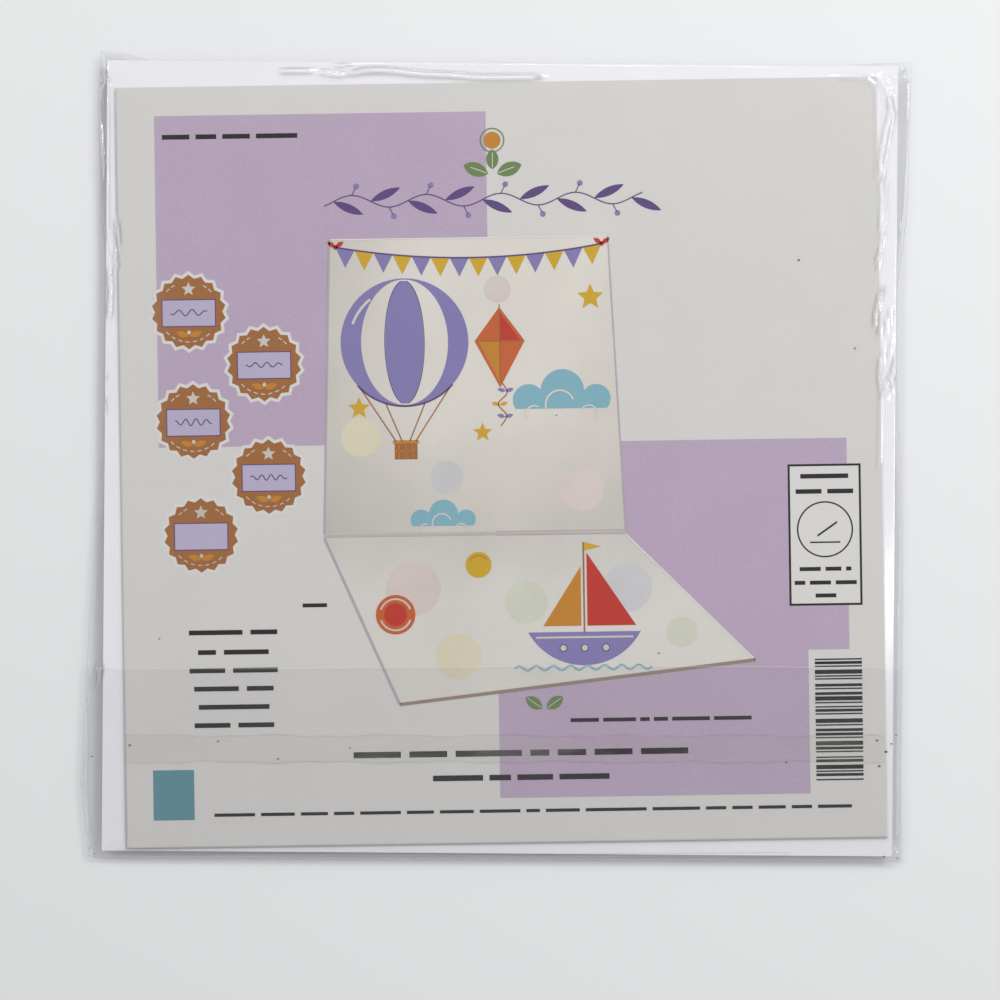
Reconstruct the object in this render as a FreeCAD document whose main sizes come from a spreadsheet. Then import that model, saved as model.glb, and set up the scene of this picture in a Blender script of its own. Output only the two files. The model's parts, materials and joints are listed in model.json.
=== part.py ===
"""A pop-up greeting card in its clear sleeve, lying flat with the printed insert sheet upwards.

Millimetres. +Z is up, +X is the right and +Y the top of the printed side. The origin is on the
floor under the middle of the sleeve. From the floor up: sleeve, card with its folded pop-up,
envelope, sticker sheet, insert sheet with its print, sleeve and its folded-over flap.
"""
import FreeCAD, Part
import math
import os

import Sketcher

V = FreeCAD.Vector

SIZES = {
    # The card, a folded square cover with the pop-up flat inside.
    "card_side": 158.75,
    "card_board": 0.35,
    "card_gap": 1.3,
    "card_turn": 0.3,
    "card_drop": 1.4,
    "popup_paper": 0.28,
    "popup_crease": 0.06,
    # The square envelope, folded from one sheet, with its room round the card.
    "envelope_room": 6.35,
    "envelope_paper": 0.12,
    "envelope_pocket": 0.1,
    "envelope_turn": -0.43,
    "envelope_mouth_drop": 12.0,
    "envelope_flap_depth": 62.0,
    "envelope_flap_inset": 34.0,
    # The printed insert sheet, as large as the card, as it lies on the envelope.
    "insert_paper": 0.3,
    "insert_turn": 0.85,
    "insert_right": 0.33,
    "insert_drop": 0.9,
    "ink": 0.015,
    # The sheet of five stickers under the insert.
    "backing_width": 66.0,
    "backing_height": 150.0,
    "backing_paper": 0.1,
    "sticker_radius": 14.0,
    "sticker_paper": 0.1,
    # The clear sleeve.
    "film": 0.05,
    "film_ease": 0.15,
    "film_over_print": 0.02,
    "side_slack": 4.5,
    "end_slack": 1.8,
    "sleeve_flap": 39.6,
    "glue_width": 5.8,
    "glue_from_flap_end": 14.8,
    "glue_thick": 0.03,
}

# How much of the slack stands out beyond the envelope at heights along each side, from the bottom
# (0) to the top (1). The film is pulled in where the share is small and makes ears at the corners.
LEFT_EDGE = [(0.0, 0.62), (0.09, 1.0), (0.31, 0.63), (0.43, 0.32), (0.52, 0.04), (0.76, 0.04),
             (0.82, 0.28), (0.94, 0.4), (1.0, 0.3)]
RIGHT_EDGE = [(0.0, 0.52), (0.09, 0.42), (0.33, 0.43), (0.43, 0.38), (0.58, 0.12), (0.61, 0.04),
              (0.72, 0.04), (0.82, 0.5), (1.0, 0.62)]
BOTTOM_EDGE = [(0.0, 0.65), (0.03, 0.8), (0.5, 0.7), (0.97, 0.6), (1.0, 0.6)]
TOP_EDGE = [(0.0, 1.0), (0.02, 0.9), (0.05, 0.06), (0.94, 0.04), (0.98, 0.3), (1.0, 0.4)]

doc = FreeCAD.newDocument("GreetingCard")
sheet = doc.addObject("Spreadsheet::Sheet", "Sizes")
for row, (alias, number) in enumerate(SIZES.items(), start=1):
    sheet.set(f"A{row}", alias)
    sheet.set(f"B{row}", str(number))
    sheet.setAlias(f"B{row}", alias)
doc.recompute()


def size(name):
    """The number in a named cell of the sheet."""
    return float(getattr(sheet, name))


pieces = []

ENVELOPE_SIDE = "(Sizes.card_side + Sizes.envelope_room)"
envelope_side = size("card_side") + size("envelope_room")

# Heights of the stack from the floor up, as the sheet's own expressions.
CARD_Z = "Sizes.film"
POPUP_Z = f"{CARD_Z} + Sizes.card_board"
ENVELOPE_Z = f"{CARD_Z} + 2 * Sizes.card_board + Sizes.card_gap"
BACKING_Z = f"{ENVELOPE_Z} + 3 * Sizes.envelope_paper + Sizes.envelope_pocket"
STICKER_Z = f"{BACKING_Z} + Sizes.backing_paper"
INSERT_Z = f"{STICKER_Z} + Sizes.sticker_paper"
PRINT_Z = f"{INSERT_Z} + Sizes.insert_paper"
PRINT_LAYERS = 6


def height(expression):
    """The value of one of the stack's heights."""
    return float(sheet.evalExpression(expression))


def turned(x, y, degrees):
    """A point turned about the origin."""
    angle = math.radians(degrees)
    return (x * math.cos(angle) - y * math.sin(angle), x * math.sin(angle) + y * math.cos(angle))


# The sleeve's outline in plan, and where the sheets lie under it

flap_place = size("sleeve_flap") / envelope_side
flap_end = size("sleeve_flap") - envelope_side / 2


def share_at(edge, place):
    """The share of the slack at a place on an edge, straight between the listed places."""
    for (start, low), (end, high) in zip(edge, edge[1:]):
        if place <= end:
            return low + (high - low) * (place - start) / (end - start)
    return edge[-1][1]


def ring_stops():
    """The sleeve's ring of points: side, place along it and the slack's share to the right and up."""
    left = sorted(LEFT_EDGE[1:-1] + [(flap_place, share_at(LEFT_EDGE, flap_place))], reverse=True)
    right = sorted(RIGHT_EDGE[1:-1] + [(flap_place, share_at(RIGHT_EDGE, flap_place))])
    stops = [("bottom", 0.0, -LEFT_EDGE[0][1], -BOTTOM_EDGE[0][1])]
    stops += [("bottom", place, 0, -share) for place, share in BOTTOM_EDGE[1:-1]]
    stops += [("bottom", 1.0, RIGHT_EDGE[0][1], -BOTTOM_EDGE[-1][1])]
    stops += [("right", place, share, 0) for place, share in right]
    stops += [("top", 1.0, RIGHT_EDGE[-1][1], TOP_EDGE[-1][1])]
    stops += [("top", place, 0, share) for place, share in reversed(TOP_EDGE[1:-1])]
    stops += [("top", 0.0, -LEFT_EDGE[-1][1], TOP_EDGE[0][1])]
    stops += [("left", place, -share, 0) for place, share in left]
    return stops


class TurnedSquare:
    """A square that lies turned a little."""

    def __init__(self, side, turn, centre, margin=0.0):
        """Keep the ends of its sides, pushed out by the margin."""
        reach = side / 2 + margin
        corners = []
        for x, y in ((-reach, -reach), (reach, -reach), (reach, reach), (-reach, reach)):
            right, up = turned(x, y, turn)
            corners.append((right + centre[0], up + centre[1]))
        self.sides = {"bottom": (corners[0], corners[1]), "right": (corners[1], corners[2]),
                      "top": (corners[3], corners[2]), "left": (corners[0], corners[3])}

    def along(self, side, place):
        """The point at a share of a side, from its left or lower end."""
        (x1, y1), (x2, y2) = self.sides[side]
        return (x1 + (x2 - x1) * place, y1 + (y2 - y1) * place)

    def level(self, side, y):
        """The point of the left or right side at a height."""
        (x1, y1), (x2, y2) = self.sides[side]
        return (x1 + (x2 - x1) * (y - y1) / (y2 - y1), y)

    def ring(self):
        """The points round the square at the sleeve's stops, those of the flap's end all level."""
        points = []
        for side, place, right, up in ring_stops():
            flap = side in ("left", "right") and place == flap_place
            points.append(self.level(side, flap_end) if flap else self.along(side, place))
        return points


def seam_ring(inset):
    """The sleeve's welded edge in plan: the envelope's outline pushed out by the film's slack."""
    snug = size("film") + size("film_ease") - inset
    base = TurnedSquare(envelope_side, size("envelope_turn"), (0, 0), snug)
    side, end = size("side_slack"), size("end_slack")
    return [(x + side * right, y + end * up)
            for (x, y), (_, _, right, up) in zip(base.ring(), ring_stops())]


# The envelope's middle stands off the origin so that the sleeve's middle is over the origin.
outer_seam = seam_ring(0)
ENVELOPE_AT = (-(max(x for x, y in outer_seam) + min(x for x, y in outer_seam)) / 2,
               -(max(y for x, y in outer_seam) + min(y for x, y in outer_seam)) / 2)
CARD_AT = (ENVELOPE_AT[0], ENVELOPE_AT[1] - size("card_drop"))
INSERT_AT = (ENVELOPE_AT[0] + size("insert_right"), ENVELOPE_AT[1] - size("insert_drop"))


def moved(ring):
    """A ring laid out about the envelope's middle, at its place in the part."""
    return [(x + ENVELOPE_AT[0], y + ENVELOPE_AT[1]) for x, y in ring]


# Bodies and sketches


def new_body(name, at, z_expression, turn_alias):
    """A body in the part, placed by its middle, its height and its turn."""
    body = doc.addObject("PartDesign::Body", name)
    body.Label = name
    body.Placement = FreeCAD.Placement(V(at[0], at[1], 0), FreeCAD.Rotation(V(0, 0, 1), 1))
    body.setExpression(".Placement.Base.z", z_expression)
    body.setExpression(".Placement.Rotation.Angle", f"Sizes.{turn_alias}")
    pieces.append(body)
    return body


def new_sketch(body, name, role="XY_Plane", lift=None):
    """A sketch on one of the body's own planes, lifted by an expression where one is given."""
    sketch = body.newObject("Sketcher::SketchObject", name)
    plane = [item for item in body.Origin.OriginFeatures if item.Role == role][0]
    sketch.AttachmentSupport = [(plane, "")]
    sketch.MapMode = "FlatFace"
    if lift:
        sketch.setExpression("AttachmentOffset.Base.z", lift)
    return sketch


def pad(body, sketch, name, thickness):
    """Raise a sketch by a thickness given as an expression."""
    feature = body.newObject("PartDesign::Pad", name)
    feature.Profile = sketch
    feature.setExpression("Length", thickness)
    return feature


def rectangle(sketch, left, right, bottom, top):
    """Draw a rectangle whose four sides are bound to expressions, measured from the origin."""
    corners = [V(-10, -20, 0), V(10, -20, 0), V(10, 20, 0), V(-10, 20, 0)]
    first = sketch.GeometryCount
    for index in range(4):
        sketch.addGeometry(Part.LineSegment(corners[index], corners[(index + 1) % 4]), False)
    for index in range(4):
        sketch.addConstraint(
            Sketcher.Constraint("Coincident", first + index, 2, first + (index + 1) % 4, 1))
    for index in (0, 2):
        sketch.addConstraint(Sketcher.Constraint("Horizontal", first + index))
        sketch.addConstraint(Sketcher.Constraint("Vertical", first + index + 1))
    sides = [("left", "DistanceX", 0, 1, left, -10), ("right", "DistanceX", 0, 2, right, 10),
             ("bottom", "DistanceY", 0, 1, bottom, -20), ("top", "DistanceY", 2, 1, top, 20)]
    for label, kind, line, end, expression, start in sides:
        number = sketch.addConstraint(
            Sketcher.Constraint(kind, -1, 1, first + line, end, start))
        sketch.renameConstraint(number, f"{label}_{first}")
        sketch.setExpression(f"Constraints.{label}_{first}", expression)


def sheet_of(body, width, tall, thickness, name="sheet", lift=None):
    """A flat sheet about the body's middle."""
    sketch = new_sketch(body, f"{name}_outline", lift=lift)
    rectangle(sketch, f"-{width} / 2", f"{width} / 2", f"-{tall} / 2", f"{tall} / 2")
    return pad(body, sketch, name, thickness)


# Closed outlines for die-cut and printed shapes, each a list of edges


def closed(points):
    """Straight edges round a list of points."""
    vectors = [V(x, y, 0) for x, y in points]
    return [Part.LineSegment(vectors[index - 1], vectors[index]) for index in range(len(vectors))]


def box(left, bottom, right, top):
    """A rectangle by its sides."""
    return closed([(left, bottom), (right, bottom), (right, top), (left, top)])


def disc(x, y, radius):
    """A round spot."""
    return [Part.Circle(V(x, y, 0), V(0, 0, 1), radius)]


def oval(x, y, across, tall):
    """An upright or lying ellipse by its half widths."""
    if across >= tall:
        return [Part.Ellipse(V(x + across, y, 0), V(x, y + tall, 0), V(x, y, 0))]
    return [Part.Ellipse(V(x, y + tall, 0), V(x - across, y, 0), V(x, y, 0))]


def star(x, y, radius, tips=5, waist=0.45):
    """A star with one tip upwards, or a seal with a pointed edge where it has many short tips."""
    points = []
    for index in range(2 * tips):
        angle = math.pi / 2 + math.pi * index / tips
        reach = radius if index % 2 == 0 else radius * waist
        points.append((x + reach * math.cos(angle), y + reach * math.sin(angle)))
    return closed(points)


def cloud(x, y, across):
    """A cloud with a flat base and three humps."""
    start, end = V(x - across, y, 0), V(x + across, y, 0)
    low_left = V(x - 0.45 * across, y + 0.42 * across, 0)
    low_right = V(x + 0.5 * across, y + 0.38 * across, 0)
    return [
        Part.Arc(start, V(x - 1.02 * across, y + 0.36 * across, 0), low_left),
        Part.Arc(low_left, V(x + 0.02 * across, y + 0.86 * across, 0), low_right),
        Part.Arc(low_right, V(x + 1.06 * across, y + 0.32 * across, 0), end),
        Part.LineSegment(end, start),
    ]


def kite(x, y, across, tall):
    """A kite that is widest above its middle."""
    return closed([(x, y + 0.42 * tall), (x + across, y), (x, y - 0.58 * tall), (x - across, y)])


def seal(x, y, radius):
    """A round seal with a pointed edge."""
    return star(x, y, radius, tips=18, waist=0.9)


def hull(x, y, across, deep):
    """A boat's hull: a flat deck and a round belly."""
    left, right = V(x - across, y, 0), V(x + across, y, 0)
    return [Part.LineSegment(left, right), Part.Arc(right, V(x, y - deep, 0), left)]


def petal(x, y, long, wide, degrees):
    """A pointed leaf from a stalk end, turned by an angle."""
    tip = turned(long, 0, degrees)
    rise = turned(long / 2, wide, degrees)
    fall = turned(long / 2, -wide, degrees)
    start, end = V(x, y, 0), V(x + tip[0], y + tip[1], 0)
    return [Part.Arc(start, V(x + rise[0], y + rise[1], 0), end),
            Part.Arc(end, V(x + fall[0], y + fall[1], 0), start)]


def scaled(outlines, unit):
    """Outlines drawn in hundredths of a sheet, at its real size about its middle."""
    matrix = FreeCAD.Matrix()
    matrix.move(V(-50, -50, 0))
    matrix.scale(V(unit, unit, unit))
    out = []
    for outline in outlines:
        for edge in outline:
            copy = edge.copy()
            copy.transform(matrix)
            out.append(copy)
    return out


def cut_shape(name, at, z_expression, turn_alias, edges, thickness):
    """A body raised from closed outlines."""
    body = new_body(name, at, z_expression, turn_alias)
    sketch = new_sketch(body, f"{name}_outline")
    sketch.addGeometry(edges, False)
    pad(body, sketch, f"{name}_sheet", thickness)
    return body


# The card: one folded cover with a round spine on the right


def build_card_cover():
    """A cover folded once, with its two panels apart by the flat pop-up."""
    board, gap, reach = size("card_board"), size("card_gap"), size("card_side") / 2
    tall = 2 * board + gap
    outer, inner = tall / 2, gap / 2
    spine = reach - outer
    body = new_body("card_cover", CARD_AT, CARD_Z, "card_turn")
    sketch = new_sketch(body, "folded_section", role="XZ_Plane")
    middle = tall / 2
    sketch.addGeometry([
        Part.LineSegment(V(-reach, 0, 0), V(spine, 0, 0)),
        Part.Arc(V(spine, 0, 0), V(reach, middle, 0), V(spine, tall, 0)),
        Part.LineSegment(V(spine, tall, 0), V(-reach, tall, 0)),
        Part.LineSegment(V(-reach, tall, 0), V(-reach, tall - board, 0)),
        Part.LineSegment(V(-reach, tall - board, 0), V(spine, tall - board, 0)),
        Part.Arc(V(spine, tall - board, 0), V(spine + inner, middle, 0), V(spine, board, 0)),
        Part.LineSegment(V(spine, board, 0), V(-reach, board, 0)),
        Part.LineSegment(V(-reach, board, 0), V(-reach, 0, 0)),
    ], False)
    feature = pad(body, sketch, "cover", "Sizes.card_side")
    feature.Midplane = True


def build_popup():
    """The paper pop-up, folded flat between the cover's panels: two arms, a canopy, four motifs."""
    unit = size("card_side") / 100
    paper = "Sizes.popup_paper"
    for name, left in (("popup_arm_left", 22), ("popup_arm_right", 66)):
        strip = [box(left, 20, left + 12, 78)]
        cut_shape(name, CARD_AT, POPUP_Z, "card_turn", scaled(strip, unit), paper)

    canopy_z = f"{POPUP_Z} + {paper}"
    body = new_body("popup_canopy", CARD_AT, canopy_z, "card_turn")
    scallops = 3
    step = 60 / scallops
    left, eaves, ridge = 20, 52, 80
    roof = [Part.LineSegment(V(left, eaves, 0), V(left + step / 2, ridge, 0)),
            Part.LineSegment(V(left + step / 2, ridge, 0), V(80 - step / 2, ridge, 0)),
            Part.LineSegment(V(80 - step / 2, ridge, 0), V(80, eaves, 0))]
    for index in range(scallops):
        right = 80 - index * step
        roof.append(Part.Arc(V(right, eaves, 0), V(right - step / 2, eaves - step / 3, 0),
                             V(right - step, eaves, 0)))
    ridge_fold = box(left + step / 2, ridge - 1, 80 - step / 2, ridge)
    plies = (("lower_ply", [roof], None, paper),
             ("ridge_fold", [ridge_fold], paper, "Sizes.popup_crease"),
             ("upper_ply", [roof], f"{paper} + Sizes.popup_crease", paper))
    for name, outline, lift, thickness in plies:
        sketch = new_sketch(body, f"{name}_outline", lift=lift)
        sketch.addGeometry(scaled(outline, unit), False)
        pad(body, sketch, name, thickness)

    motif_z = f"{canopy_z} + 2 * {paper} + Sizes.popup_crease"
    motifs = {"popup_cloud": cloud(34, 56, 9), "popup_star": star(66, 62, 9),
              "popup_kite": kite(60, 32, 7, 20), "popup_boat": hull(36, 34, 11, 6)}
    for name, outline in motifs.items():
        cut_shape(name, CARD_AT, motif_z, "card_turn", scaled([outline], unit), paper)


def build_envelope():
    """A square envelope folded from one sheet, its closing flap turned down on the card's side."""
    body = new_body("envelope", ENVELOPE_AT, ENVELOPE_Z, "envelope_turn")
    paper, reach = "Sizes.envelope_paper", f"{ENVELOPE_SIDE} / 2"
    mouth = f"{reach} - Sizes.envelope_mouth_drop"
    wall = f"2 * {paper} + Sizes.envelope_pocket"
    sheet_of(body, ENVELOPE_SIDE, ENVELOPE_SIDE, paper, "address_panel", wall)

    back = new_sketch(body, "back_outline", lift=paper)
    rectangle(back, f"-{reach}", reach, f"-{reach}", mouth)
    pad(body, back, "back_panel", paper)

    folds = new_sketch(body, "side_folds", lift=paper)
    rectangle(folds, f"-{reach}", f"-{reach} + {paper}", f"-{reach}", mouth)
    rectangle(folds, f"{reach} - {paper}", reach, f"-{reach}", mouth)
    pad(body, folds, "side_walls", wall)

    foot = new_sketch(body, "bottom_fold", lift=paper)
    rectangle(foot, f"-{reach}", reach, f"-{reach}", f"-{reach} + {paper}")
    pad(body, foot, "bottom_wall", wall)

    top = new_sketch(body, "top_fold")
    rectangle(top, f"-{reach}", reach, f"{reach} - {paper}", reach)
    pad(body, top, "top_wall", f"3 * {paper} + Sizes.envelope_pocket")

    edge, depth, inset = envelope_side / 2, size("envelope_flap_depth"), size("envelope_flap_inset")
    tip = edge - depth
    flap = new_sketch(body, "flap_outline")
    flap.addGeometry([
        Part.LineSegment(V(-edge, edge, 0), V(-edge + inset, tip, 0)),
        Part.Arc(V(-edge + inset, tip, 0), V(0, tip - inset / 6, 0), V(edge - inset, tip, 0)),
        Part.LineSegment(V(edge - inset, tip, 0), V(edge, edge, 0)),
        Part.LineSegment(V(edge, edge, 0), V(-edge, edge, 0)),
    ], False)
    pad(body, flap, "closing_flap", paper)


def build_sticker_sheet():
    """A slim backing with five pointed round stickers in a column."""
    backing = new_body("sticker_backing", INSERT_AT, BACKING_Z, "insert_turn")
    sheet_of(backing, "Sizes.backing_width", "Sizes.backing_height", "Sizes.backing_paper")
    count = 5
    step = size("backing_height") / count
    for index in range(count):
        x = size("backing_width") / 2 - size("sticker_radius") - step / 10
        if index % 2:
            x = -x
        y = (index - (count - 1) / 2) * step
        cut_shape(f"sticker_{index + 1}", INSERT_AT, STICKER_Z, "insert_turn",
                  seal(x, y, size("sticker_radius")), "Sizes.sticker_paper")


def build_insert():
    """The printed sheet itself."""
    body = new_body("insert_sheet", INSERT_AT, INSERT_Z, "insert_turn")
    sheet_of(body, "Sizes.card_side", "Sizes.card_side", "Sizes.insert_paper")


# The print: fields of colour on the insert, drawn in hundredths of its side from the lower left


def printed(name, layer, outlines):
    """One colour of the print, raised by one thickness of ink in its layer."""
    unit = size("card_side") / 100
    cut_shape(name, INSERT_AT, f"{PRINT_Z} + {layer} * Sizes.ink", "insert_turn",
              scaled(outlines, unit), "Sizes.ink")


BADGES = [(9.2, 70.4), (19.0, 63.4), (9.6, 56.0), (19.4, 48.6), (10.4, 41.0)]
BADGE_RADIUS = 4.9
BALLOON = (37.5, 66.0)
BALLOON_RADIUS = 8.4


def words(left, right, y, tall, lengths, space=0.9):
    """A line of plain dashes the size of words, spread between two sides."""
    total = sum(lengths) + space * (len(lengths) - 1)
    scale = (right - left) / total
    out, x = [], left
    for length in lengths:
        out.append(box(x, y - tall / 2, x + length * scale, y + tall / 2))
        x += (length + space) * scale
    return out


def bar_column(left, right, bottom, top):
    """A plain column of bars whose widths repeat in a simple order."""
    widths = [1, 2, 1, 3, 2, 1, 1, 2, 3, 1, 2, 2, 1, 3, 1, 2, 1, 1, 3, 2, 1, 2, 1, 1, 3, 1, 2, 1]
    spaces = [2, 1, 1, 2, 1, 3, 1, 1]
    total = sum(widths) + sum(spaces[index % len(spaces)] for index in range(len(widths) - 1))
    step = (top - bottom) / total
    out, y = [], bottom
    for index, width in enumerate(widths):
        out.append(box(left, y, right, y + width * step))
        y += (width + spaces[index % len(spaces)]) * step
    return out


def frame(left, bottom, right, top, line):
    """A thin rectangular frame, as an outer and an inner outline."""
    return [box(left, bottom, right, top), box(left + line, bottom + line, right - line, top - line)]


def pennants(left, right, y, sag, count, first):
    """Every second pennant of a string that hangs between two points."""
    out = []
    step = (right - left) / count
    for index in range(first, count, 2):
        start, end = left + index * step, left + (index + 1) * step
        drop_start = sag * (1 - (2 * index / count - 1) ** 2)
        drop_end = sag * (1 - (2 * (index + 1) / count - 1) ** 2)
        middle = (start + end) / 2
        out.append(closed([(start, y - drop_start), (middle, y - (drop_start + drop_end) / 2 - step),
                           (end, y - drop_end)]))
    return out


def centred(middle, y, tall, lengths, pitch=0.58):
    """A line of word dashes centred on a middle."""
    reach = pitch * (sum(lengths) + len(lengths) - 1)
    return words(middle - reach, middle + reach, y, tall, lengths)


def word_lines():
    """The lines of small print, as plain dashes."""
    lines = words(6.0, 23.8, 93.4, 0.62, [4, 3, 4, 6]) + words(23.6, 26.8, 31.6, 0.5, [5])
    for y, lengths in ((28.2, [6, 3]), (25.6, [2, 5]), (23.2, [4, 5]), (20.8, [5, 3]), (18.4, [8]),
                       (16.0, [4, 4])):
        lines += centred(14.4, y, 0.62, lengths)
    lines += words(58.6, 82.4, 16.0, 0.5, [6, 7, 2, 3, 8, 8])
    lines += words(30.0, 74.0, 11.8, 0.8, [5, 4, 7, 2, 3, 4, 5])
    lines += words(40.4, 63.6, 8.6, 0.74, [7, 3, 5, 7])
    lines += words(11.6, 95.4, 4.2, 0.42, [6, 5, 4, 3, 6, 4, 5, 6, 2, 5, 9, 7, 3, 3, 4, 3, 5])
    return lines


def box_lines():
    """The box at the right: its frame, a round picture of a folded corner, and short lines."""
    middle, round_y = 92.4, 40.6
    lines = frame(87.6, 30.6, 97.2, 49.2, 0.28)
    lines += centred(middle, 47.6, 0.6, [7], 0.45) + centred(middle, 45.6, 0.6, [4, 4], 0.42)
    for y, lengths in ((35.4, [4, 3, 1]), (33.6, [2, 4, 4]), (31.9, [4])):
        lines += centred(middle, y, 0.52, lengths, 0.34)
    lines += [disc(middle, round_y, 3.7), disc(middle, round_y, 3.5)]
    lines += [closed([(90.4, 38.8), (94.4, 38.8), (94.4, 39.0), (90.4, 39.0)]),
              closed([(91.4, 39.6), (94.0, 41.4), (94.0, 41.7), (91.4, 39.9)])]
    return lines


def build_print():
    """All the colours, from the ground up."""
    printed("print_lilac_fields", 0, [
        box(5.0, 52.6, 48.6, 96.2),
        closed([(49.2, 5.9), (90.0, 5.9), (90.0, 24.8), (95.4, 24.8), (95.4, 52.6), (49.2, 52.6)]),
    ])
    printed("print_teal_square", 0, [box(3.6, 3.6, 9.0, 10.2)])

    printed("print_picture_back", 1, [
        closed([(26.6, 41.0), (66.2, 41.0), (64.4, 79.6), (27.8, 79.6)])])
    printed("print_picture_floor", 1, [
        closed([(26.6, 40.4), (36.2, 18.4), (83.0, 23.6), (66.2, 40.4)])])
    printed("print_box_ground", 1, [box(87.6, 30.6, 97.2, 49.2)])
    printed("print_badge_rims", 1, [seal(x, y, BADGE_RADIUS + 0.5) for x, y in BADGES])
    printed("print_title_ornament", 1, [petal(28.4 + index * 4.9, 84.6, 4.3, 0.55, 24 if index % 2 else -24)
                                        for index in range(9)])

    printed("print_spots_yellow", 2, [disc(31.6, 53.6, 2.6), disc(44.0, 24.6, 3.0)])
    printed("print_spots_pink", 2, [disc(60.4, 46.4, 3.0), disc(38.2, 33.6, 3.6), disc(49.8, 72.8, 1.8)])
    printed("print_spots_blue", 2, [disc(42.8, 48.2, 2.2), disc(66.4, 33.4, 3.2)])
    printed("print_spots_green", 2, [disc(53.0, 31.6, 2.8), disc(73.4, 27.4, 2.0)])
    printed("print_words", 2, word_lines() + bar_column(90.8, 97.0, 7.6, 23.6) + box_lines())

    x, y = BALLOON
    printed("print_brown", 3, [seal(x, y, BADGE_RADIUS) for x, y in BADGES]
            + [box(x - 1.5, y - 15.4, x + 1.5, y - 13.0)])
    printed("print_violet", 3, [disc(x, y, BALLOON_RADIUS), hull(60.6, 27.6, 7.4, 4.4)]
            + pennants(28.6, 63.6, 78.6, 1.6, 14, 0))
    printed("print_sky_blue", 3, [cloud(58.0, 57.0, 6.0), cloud(42.2, 41.8, 4.0)])
    printed("print_orange", 3, [kite(50.0, 66.0, 3.3, 10.6),
                                disc(35.8, 30.2, 2.6)])
    printed("print_yellow", 3, pennants(28.6, 63.6, 78.6, 1.6, 14, 1)
            + [star(62.0, 71.6, 1.8), star(31.4, 57.4, 1.5), star(47.6, 54.0, 1.3), disc(46.8, 36.6, 1.7)])
    printed("print_green", 3, [petal(55.5, 17.6, 2.6, 0.75, 35), petal(54.9, 17.6, 2.6, 0.75, 145),
                               petal(50.0, 88.0, 3.4, 0.9, 20), petal(48.8, 88.0, 3.4, 0.9, 160),
                               petal(49.4, 88.6, 2.6, 0.8, 90)])

    printed("print_cream_details", 4, [oval(x, y, BALLOON_RADIUS * 0.68, BALLOON_RADIUS * 0.98)]
            + [star(x, y + 3.0, 0.95) for x, y in BADGES])
    printed("print_labels", 4, [box(x - 3.5, y - 1.9, x + 3.5, y + 1.6) for x, y in BADGES])
    printed("print_red", 4, [closed([(61.0, 28.4), (61.0, 38.0), (67.4, 28.4)]),
                             closed([(50.0, 69.8), (50.0, 66.0), (52.8, 66.0)]),
                             disc(35.8, 30.2, 1.5)])
    printed("print_ochre", 4, [closed([(60.2, 28.4), (60.2, 36.2), (55.2, 28.4)]),
                               closed([(50.0, 60.4), (50.0, 66.0), (47.2, 66.0)]),
                               disc(49.4, 92.4, 1.1)])
    printed("print_stripe", 5, [oval(x, y, BALLOON_RADIUS * 0.3, BALLOON_RADIUS * 0.96)])


# The sleeve: rings of points joined by flat triangles, so that the thin film has true flat facets


def facet(points):
    """A flat face through three or more points."""
    return Part.Face(Part.makePolygon([V(*point) for point in points + points[:1]]))


def band(low, high):
    """Triangles between two rings with the same number of points."""
    faces = []
    for index in range(len(low)):
        following = (index + 1) % len(low)
        faces.append(facet([low[index], low[following], high[following]]))
        faces.append(facet([low[index], high[following], high[index]]))
    return faces


def solid_of(faces):
    """A closed solid from its faces, with its outside outwards."""
    shell = Part.makeShell(faces)
    shell.sewShape()
    solid = Part.makeSolid(shell)
    return solid if solid.Volume > 0 else solid.reversed()


def sleeve_rings(inset):
    """The four rings of the pouch, from the floor up, pulled inwards by the inset."""
    snug = size("film") + size("film_ease") - inset
    seam_z = height(INSERT_Z) / 2
    top_z = height(PRINT_Z) + PRINT_LAYERS * size("ink") + size("film_over_print") + size("film") - inset
    shelf_z = height(BACKING_Z) + size("film") + size("film_over_print") - inset

    def lifted(square, z):
        """A square's ring at one height."""
        return [(x, y, z) for x, y in moved(square.ring())]

    envelope = TurnedSquare(envelope_side, size("envelope_turn"), (0, 0), snug)
    card = TurnedSquare(size("card_side"), size("card_turn"), (0, -size("card_drop")), snug)
    insert = TurnedSquare(size("card_side"), size("insert_turn"),
                          (size("insert_right"), -size("insert_drop")), snug)
    return [lifted(card, inset), [(x, y, seam_z) for x, y in moved(seam_ring(inset))],
            lifted(envelope, shelf_z), lifted(insert, top_z)]


def pouch(inset):
    """The closed pouch through its rings."""
    rings = sleeve_rings(inset)
    faces = [facet(list(reversed(rings[0]))), facet(rings[-1])]
    for low, high in zip(rings, rings[1:]):
        faces += band(low, high)
    return solid_of(faces)


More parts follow.
